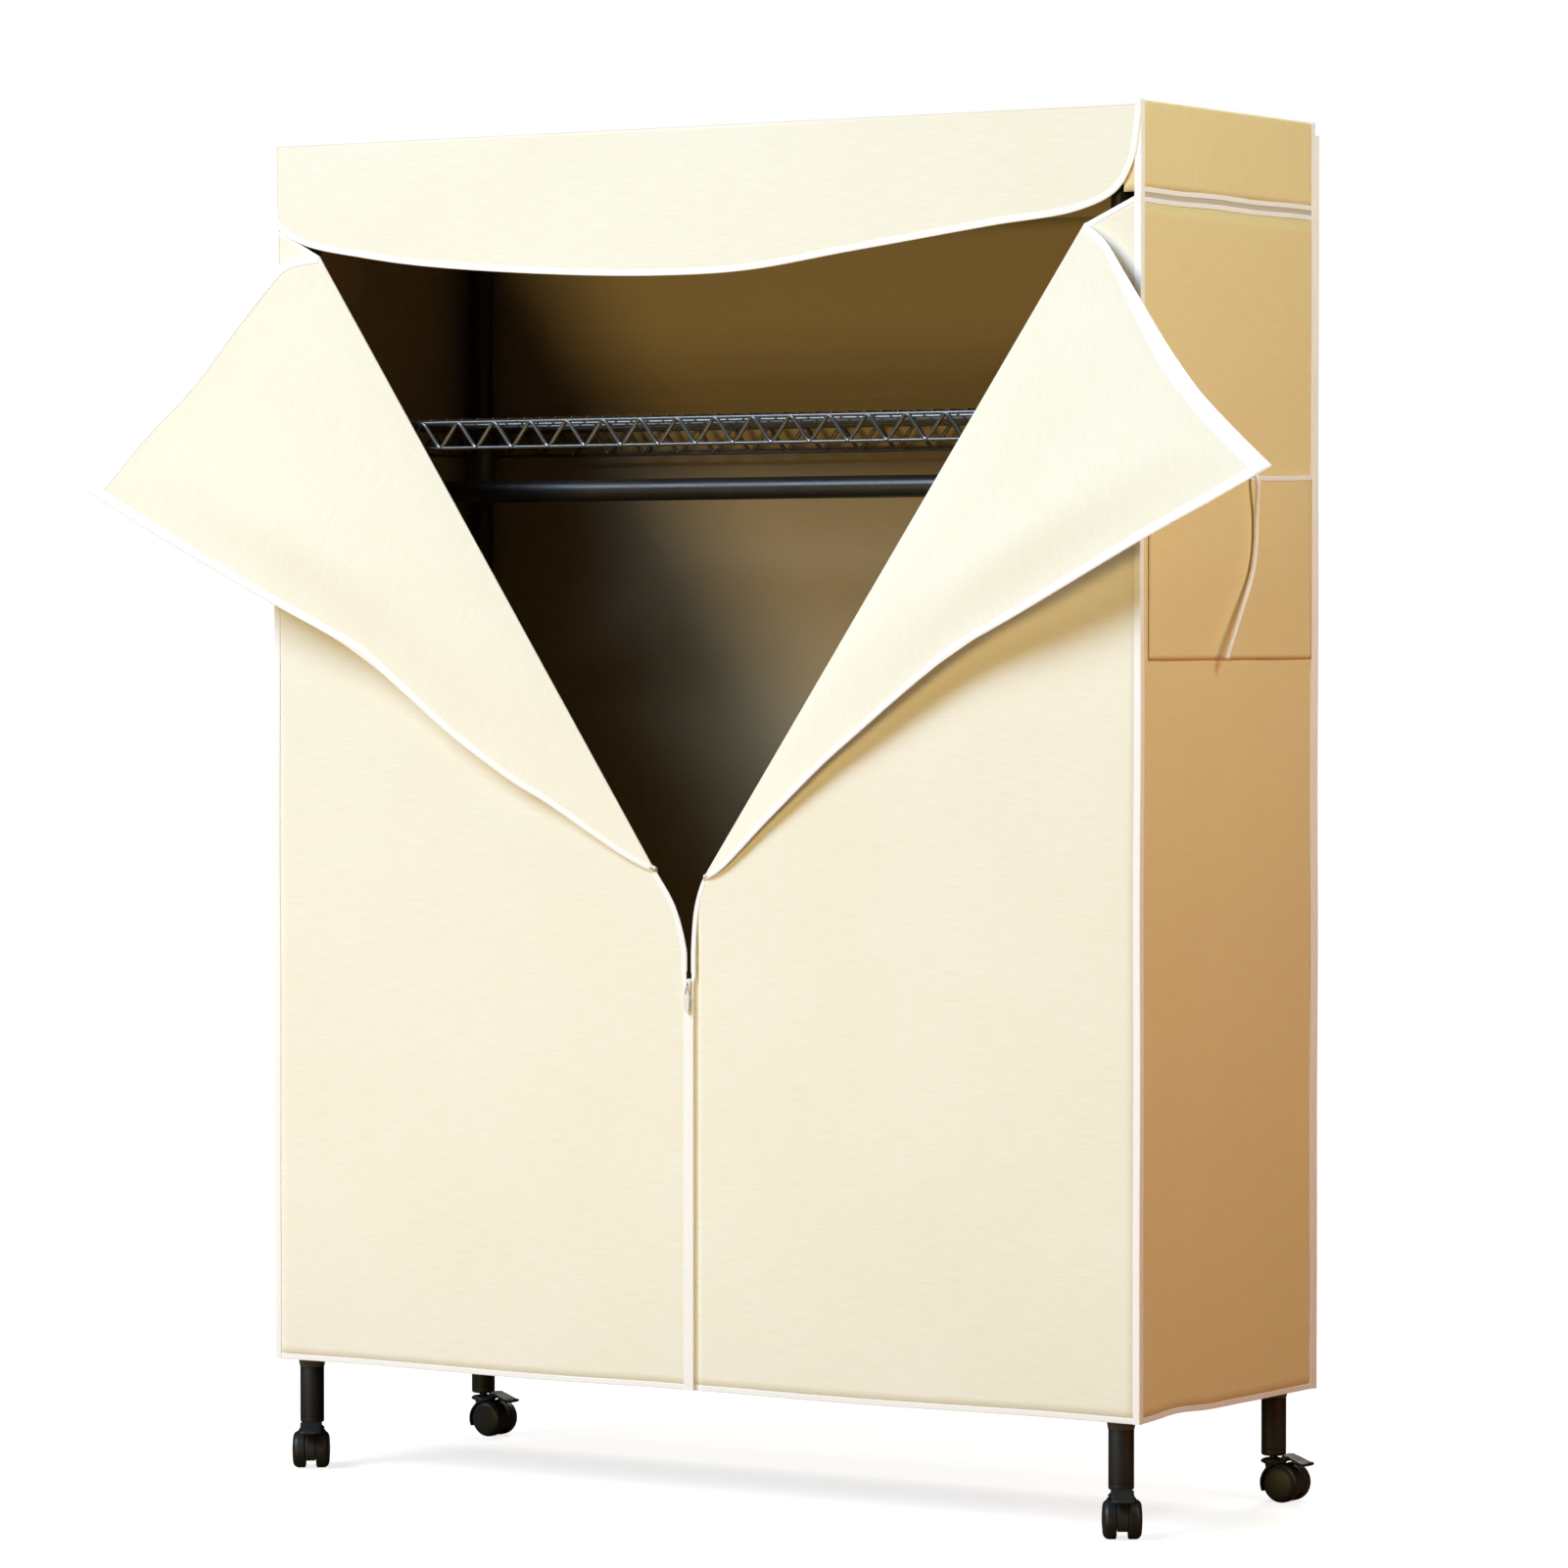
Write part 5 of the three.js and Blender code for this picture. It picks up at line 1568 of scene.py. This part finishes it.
def make_pull():
    """A flat tab with a long hole for the bail and a round hole at its tip, drawn as a filled
    curve with a bevel, stood upright and moved to its place."""
    pull_low, pull_high = low("zip_pull"), high("zip_pull")
    middle, reach = (pull_low + pull_high) / 2, (pull_high[2] - pull_low[2]) / 2
    circle = points_of(np.cos(full_turn(48)), np.sin(full_turn(48)))
    drawing = bpy.data.curves.new("pull_tab", "CURVE")
    drawing.dimensions = "2D"
    drawing.fill_mode = "BOTH"
    drawing.extrude = PULL_EXTRUDE
    drawing.bevel_depth = PULL_BEVEL
    drawing.bevel_resolution = 2
    for ring in (
        superellipse(PULL_HALF_WIDTH, reach, 4, 48),
        circle * PULL_HOLE + (0, reach - PULL_HOLE_DEPTH),
        circle * PULL_TIP_HOLE + (0, PULL_TIP_HOLE_RISE - reach),
    ):
        spline = drawing.splines.new("POLY")
        spline.points.add(len(ring) - 1)
        spline.points.foreach_set("co", points_of(ring[:, 0], ring[:, 1], 0, 1).ravel())
        spline.use_cyclic_u = True
    drawn = linked("pull_tab_drawn", drawing)
    mesh = settled_mesh(drawn)
    bpy.data.objects.remove(drawn)
    places = np.zeros(len(mesh.vertices) * 3, np.float32)
    mesh.vertices.foreach_get("co", places)
    x, y, z = places.reshape(-1, 3).T
    placed = points_of(MID_X + x, middle[1] - z, middle[2] + y)
    mesh.vertices.foreach_set("co", placed.astype(np.float32).ravel())
    mesh.name = "pull_tab"
    material, slot = ENAMEL
    mesh.materials.clear()
    mesh.materials.append(material)
    tab = linked("pull_tab", mesh)
    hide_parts("zip_pull")
    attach(tab, "pull")


make_closed_zip()
make_slider()
make_pull()


# Cover: roof, sides and back
def make_roof():
    """One cloth over the top and down both sides: a level top, a rounded edge of a few
    millimetres and a hanging skirt, with the back skirt joined along the top's back edge and
    a return of cloth inside each front corner."""
    inset = CLOTH / 2 + TIGHT_FIT
    half = (RIGHT_X - LEFT_X) / 2 - inset
    top, shoulder = TOP_Z - inset, TOP_Z - inset - ROOF_EDGE
    skirt_side = points_of(half, np.linspace(SKIRT_Z, shoulder, 14)[:-1])
    arc = points_of(
        half - ROOF_EDGE + ROOF_EDGE * np.cos(quarter(8)),
        shoulder + ROOF_EDGE * np.sin(quarter(8)),
    )
    level = points_of(np.linspace(half - ROOF_EDGE, ROOF_EDGE - half, 60)[1:-1], top)
    right_part = np.concatenate([skirt_side, arc])
    ring = np.concatenate([right_part, level, right_part[::-1] * (-1, 1)])
    y = np.linspace(FRONT_Y + ROOF_FRONT_INSET, BACK_Y - inset, 30)[:, None]
    x, z = MID_X + ring[:, 0], ring[:, 1]
    dip = ease((1 - np.abs(ring[:, 0]) / half) * 6) * arch((y - y[0]) / (y[-1] - y[0]), 0.6)
    bays = 0.5 + 0.5 * np.cos(2 * np.pi * ring[:, 0] / (4 * MAT_PITCH))
    even_sag, bay_sag = ROOF_SAG
    z = z - np.where(z > TOP_Z - ROOF_EDGE, (even_sag + bay_sag * bays) * dip, 0)
    making = Making()
    making.grid(points_of(x, y, z), points_of(distances(ring), y))
    back_x = np.linspace(half, -half, 60)
    back_z = np.concatenate([[top], np.linspace(shoulder, SKIRT_Z, 13)])[:, None]
    making.grid(
        points_of(MID_X + back_x, BACK_Y - inset, back_z),
        points_of(back_x + half, y[-1] + TOP_Z - back_z),
    )
    width = np.linspace(0, ROOF_RETURN, 4)
    rise = np.linspace(SKIRT_Z - ROOF_EDGE, shoulder, 12)[:, None]
    for side in (-1, 1):
        making.grid(points_of(MID_X + side * (half - width), y[0], rise), points_of(width, rise))
    shade_inside(cloth_piece(
        making, "roof_cloth", "rack", ["cover_roof"],
        finish=SHADED_CREAM,
    ))


make_roof()


def panel_waves(u, v, depth, seed):
    """Slow hollows of a hanging panel: none at its side seams, most near its hem."""
    mask = arch(u, 0.8) * (0.25 + 0.75 * (1 - v))
    slow = np.sin(2 * np.pi * (1.6 * u + 0.22 * np.sin(5 * v + seed)) + seed)
    return depth * mask * (slow + 0.5 * np.sin(9 * v + seed))


def make_side(name, side):
    """A side panel whose hem lifts a little near its front, and above it the grey band with a
    white binding along both edges."""
    wall_x = (LEFT_X if side < 0 else RIGHT_X) - side * SIDE_INSET
    outward = side * RIGHT
    u, v = np.linspace(0, 1, 40), np.linspace(0, 1, 84)[:, None]
    y = FRONT_Y + SEAM_INSET + u * (BACK_Y - FRONT_Y - 2 * SEAM_INSET)
    lift = SIDE_HEM_LIFT * np.exp(-(((u - SIDE_LIFT_AT) / SIDE_LIFT_SPREAD) ** 2))
    z = HEM_Z + v * (PANEL_TOP_Z - HEM_Z) + lift * ease(1 - v * 6) * ease(u * 20)
    hollow = np.abs(panel_waves(u, v, SIDE_HOLLOW, 1.3 * side)) + TIGHT_FIT
    panel = points_of(wall_x - side * hollow, y, z)
    making = Making()
    making.grid(panel, panel[..., 1:])
    shade_inside(cloth_piece(
        making, f"{name}_side_cloth", "rack", [f"cover_{name}_panel"],
        finish=SHADED_CREAM,
    ))
    strip(f"{name}_side_hem", panel[0], UP, outward, HEM_WIDTH)

    band_low, band_high = low(f"cover_{name}_band")[2], high(f"cover_{name}_band")[2]
    y = np.linspace(FRONT_Y + SEAM_INSET, BACK_Y - SEAM_INSET, 60)
    ripple = BAND_RIPPLE * np.sin(2 * np.pi * y / BAND_RIPPLE_PITCH + side)
    rows = np.linspace(band_low, band_high, 7)[:, None]
    band = points_of(wall_x - side * BAND_SINK, y, rows + ripple)
    making = Making()
    making.grid(band, band[..., 1:])
    cloth_piece(
        making, f"{name}_side_band", "rack", [f"cover_{name}_band"],
        finish=BAND_CLOTH,
    )
    for label, centre in (("lower", band_low + BAND_EDGE), ("upper", band_high - BAND_EDGE)):
        path = points_of(wall_x + side * TIGHT_FIT, y, centre + ripple)
        strip(f"{name}_{label}_band_binding", path, UP, outward, *BAND_TAPE)


for side_name, side_sign in SIDES.items():
    make_side(side_name, side_sign)


def make_back():
    half = (RIGHT_X - LEFT_X) / 2 - CORNER_INSET
    top = high("cover_back_panel")[2]
    u, v = np.linspace(0, 1, 90), np.linspace(0, 1, 84)[:, None]
    pleats = BACK_PLEATS * arch(u) * wave(BACK_PLEAT_COUNT * u) * (1 - v)
    hollow = np.abs(panel_waves(u, v, BACK_HOLLOW, 0.4) + pleats)
    panel = points_of(
        MID_X - half + u * 2 * half, BACK_Y - BACK_INSET - hollow, HEM_Z + v * (top - HEM_Z)
    )
    making = Making()
    making.grid(panel, panel[..., ::2])
    shade_inside(cloth_piece(
        making, "back_cloth", "rack", ["cover_back_panel"],
        finish=SHADED_CREAM,
    ))
    strip("back_hem", panel[0], UP, BACK, HEM_WIDTH)
    seam = points_of(np.linspace(-half, half, 40) + MID_X, BACK_Y, SKIRT_Z)
    strip("back_roof_seam", seam, UP, BACK, *SEAM_TAPE)


make_back()


# Cover: corner bindings, each an angle of tape folded round an upright edge
def corner_profile():
    """An angle section drawn in two directions from the cloth's corner: a rounded outer
    corner and two legs with rounded ends."""
    skin = CORNER_TAPE * 0.55
    root = skin - CORNER_TAPE
    turn = quarter(7)[::-1]
    bend = skin - CORNER_ROUNDING + CORNER_ROUNDING * points_of(np.cos(turn), np.sin(turn))
    low_swell, high_swell, bevel = CORNER_END
    end = [
        (-CORNER_LEG, root), (-CORNER_LEG - low_swell, root + CORNER_TAPE * 0.3),
        (-CORNER_LEG - high_swell, skin - CORNER_TAPE * 0.15), (-CORNER_LEG + bevel, skin),
    ]
    return np.concatenate([end, bend, np.array(end)[::-1, ::-1], [(root, root)]])


def make_corner(name, x, y, side_x, side_y):
    """The tape on one upright edge, which sways a little, and on the two back edges the
    seam's flange that stands out between its legs."""
    profile = corner_profile()
    z = np.linspace(HEM_Z - DOOR_INSET, TOP_Z - CORNER_TOP_GAP, 100)
    rise = (z - HEM_Z) / (PANEL_TOP_Z - HEM_Z)
    sway = CORNER_SWAY * np.sin(2 * np.pi * z / CORNER_SWAY_PITCH + x * 3 + y * 9) * arch(rise)
    path = points_of(x + sway * side_x, y, z)
    run = distances(profile[np.append(np.arange(len(profile)), 0)])
    one_shell(
        swept(path, profile, side_x * RIGHT, side_y * BACK), name, WHITE, "rack",
        places=points_of(run, z[:, None]),
    )
    if side_y > 0:
        outward = unit([side_x, side_y, 0])
        strip(
            name.replace("binding", "seam_flange"), path[:-1], outward, np.cross(UP, outward),
            CORNER_FLANGE, FLANGE_THICKNESS, 0.0,
        )


make_corner("left_corner_binding", LEFT_X, FRONT_Y, -1, -1)
make_corner("right_corner_binding", RIGHT_X, FRONT_Y, 1, -1)
make_corner("back_left_binding", LEFT_X, BACK_Y, -1, 1)
make_corner("back_right_binding", RIGHT_X, BACK_Y, 1, 1)


# Cover: valance
def valance_front(x, z):
    """The valance's Y: level with the roof's front along the roof, a little further forward
    near the middle of its lower edge, with slow waves."""
    long_pitch, short_pitch = VALANCE_PITCHES
    share = np.clip((TOP_Z - z) / VALANCE_DROP, 0, 1)
    across = np.cos(np.pi * np.clip((x - MID_X) / (RIGHT_X - LEFT_X), -0.5, 0.5))
    ripple = np.sin(2 * np.pi * x / long_pitch + 0.9) + 0.4 * wave(x / short_pitch)
    billow = VALANCE_BILLOW * share**1.4 + VALANCE_RIPPLE * ripple * share
    return FRONT_Y - VALANCE_STAND_OFF - across * billow


def make_valance():
    """The free front sheet between the roof's edge and its curved lower edge, one binding
    round its three free edges, and the roof's own front binding."""
    width = RIGHT_X - LEFT_X
    edge = smooth_curve(np.array(VALANCE_EDGE) * (width / 2, TOP_Z) + (MID_X, 0), 140)
    x, low_z = edge.T
    head_z = TOP_Z - DOOR_INSET
    z = head_z + np.linspace(0, 1, 18) * (low_z - head_z)[:, None]
    sheet = points_of(x[:, None], valance_front(x[:, None], z), z)
    making = Making()
    making.grid(sheet, sheet[..., ::2])
    cloth_piece(
        making, "valance_sheet", "valance_cloth", ["valance"],
    )
    rim = points_of(x, valance_front(x, low_z), low_z)
    side_y, side_top = FRONT_Y - VALANCE_STAND_OFF, TOP_Z - VALANCE_TOP_GAP
    left = points_of(x[0], side_y, np.linspace(side_top, low_z[0] + VALANCE_END, 12))
    right = points_of(x[-1], side_y, np.linspace(low_z[-1] + VALANCE_END, side_top, 4))
    path = even_steps(np.concatenate([left, rim, right]), 260)
    inward = unit(np.cross(FRONT, along_path(path)))
    strip(
        "valance_binding", path, inward, FRONT, *EDGE_TAPE, VALANCE_OVERHANG,
        body="valance_cloth",
    )
    head_x = np.linspace(LEFT_X + HEAD_INSET, RIGHT_X - HEAD_INSET, 90)
    head = points_of(head_x, FRONT_Y - HEAD_INSET, TOP_Z)
    strip("roof_front_binding", head, -UP, FRONT, *EDGE_TAPE, HEAD_OVERHANG)


make_valance()


# Pocket
def make_pocket():
    """A patch of cloth: flat along its seams and standing off by a rounded swell that is
    largest at the mouth."""
    start, end = low("side_pocket"), high("side_pocket")
    u, v = np.linspace(0, 1, 60), np.linspace(0, 1, 40)[:, None]
    swell = arch(u, 0.55) * (ease(v * 1.6) * 0.75 + 0.25 * v)
    patch = points_of(
        RIGHT_X + POCKET_GAP + POCKET_SWELL * swell, start[1] + u * (end[1] - start[1]),
        start[2] + v * (end[2] - start[2]) - POCKET_SAG * arch(u) * v**3,
    )
    making = Making()
    making.grid(patch, patch[..., 1:])
    cloth_piece(
        making, "pocket_patch", "rack", ["side_pocket"],
        finish=SHADED_CREAM,
    )
    strip(
        "pocket_mouth_binding", patch[-1], -UP, RIGHT, *MOUTH_TAPE, replaces=["pocket_binding"]
    )


make_pocket()


# Studio: floor, backdrop, lamps and world
def by_camera(tree, elsewhere, seen):
    """One shader for the camera's own rays and another for all the rest."""
    rays = add(tree, "ShaderNodeLightPath")
    links = {0: rays.outputs["Is Camera Ray"], 1: elsewhere.outputs[0], 2: seen.outputs[0]}
    return add(tree, "ShaderNodeMixShader", links)


def pale_floor_material():
    """A pale floor: the camera sees it nearly white with the shadow on it, and it fades into
    the white backdrop further out. It throws only a little warm light back up."""
    material, tree, shader = start_material("pale studio floor")
    tree.nodes.remove(shader)
    lit = add(tree, "ShaderNodeBsdfDiffuse", None, {"Color": (*FLOOR_GREY, 1)})
    glow = add(tree, "ShaderNodeEmission", None, {"Color": WHITE_LIGHT, "Strength": FLOOR_GLOW})
    seen = add(tree, "ShaderNodeAddShader", {0: lit.outputs[0], 1: glow.outputs[0]})
    warm = add(tree, "ShaderNodeBsdfDiffuse", None, {"Color": (*FLOOR_BOUNCE, 1)})
    by_ray = by_camera(tree, warm, seen)
    reach = add(tree, "ShaderNodeVectorMath", {0: solid_place(tree)}, operation="LENGTH")
    near, far = FLOOR_FADE
    fade = add(
        tree, "ShaderNodeMapRange", {"Value": reach.outputs["Value"]},
        {"From Min": near, "From Max": far}, interpolation_type="SMOOTHSTEP",
    )
    clear = add(tree, "ShaderNodeBsdfTransparent")
    ends = {0: fade.outputs[0], 1: by_ray.outputs[0], 2: clear.outputs[0]}
    faded = add(tree, "ShaderNodeMixShader", ends)
    feed(tree, tree.nodes["Material Output"], {"Surface": faded.outputs[0]})
    return material


def make_stage():
    size = FLOOR_HALF
    corners = [(-size, -size, 0), (size, -size, 0), (size, size, 0), (-size, size, 0)]
    mesh = bpy.data.meshes.new("studio_floor")
    mesh.from_pydata(corners, [], [(0, 1, 2, 3)])
    mesh.materials.append(pale_floor_material())
    linked("studio_floor", mesh)


def add_lamp(name, place, aim, size, power, colour):
    """A rectangular lamp that faces its aim."""
    data = bpy.data.lights.new(name, "AREA")
    data.shape = "RECTANGLE"
    data.size, data.size_y = size
    data.energy = power
    data.color = colour
    lamp = linked(name, data)
    lamp.location = place
    x, y, z = np.array(aim) - np.array(place)
    tilt, turn = math.atan2(z, math.hypot(x, y)), math.atan2(y, x)
    lamp.rotation_euler = Euler((math.pi / 2 + tilt, 0, turn - math.pi / 2))


def make_lights():
    for name, settings in LAMPS.items():
        add_lamp(name, *settings)
    world = bpy.data.worlds.new("studio_world")
    world.use_nodes = True
    bpy.context.scene.world = world
    tree = world.node_tree
    values = {"Color": (*AMBIENT_COLOUR, 1), "Strength": AMBIENT}
    plain = feed(tree, tree.nodes["Background"], None, values)
    white = add(tree, "ShaderNodeBackground", None, {"Color": WHITE_LIGHT, "Strength": 1.0})
    mix = by_camera(tree, plain, white)
    feed(tree, tree.nodes["World Output"], {"Surface": mix.outputs[0]})


make_stage()
make_lights()
bpy.context.scene.view_settings.view_transform = "Standard"
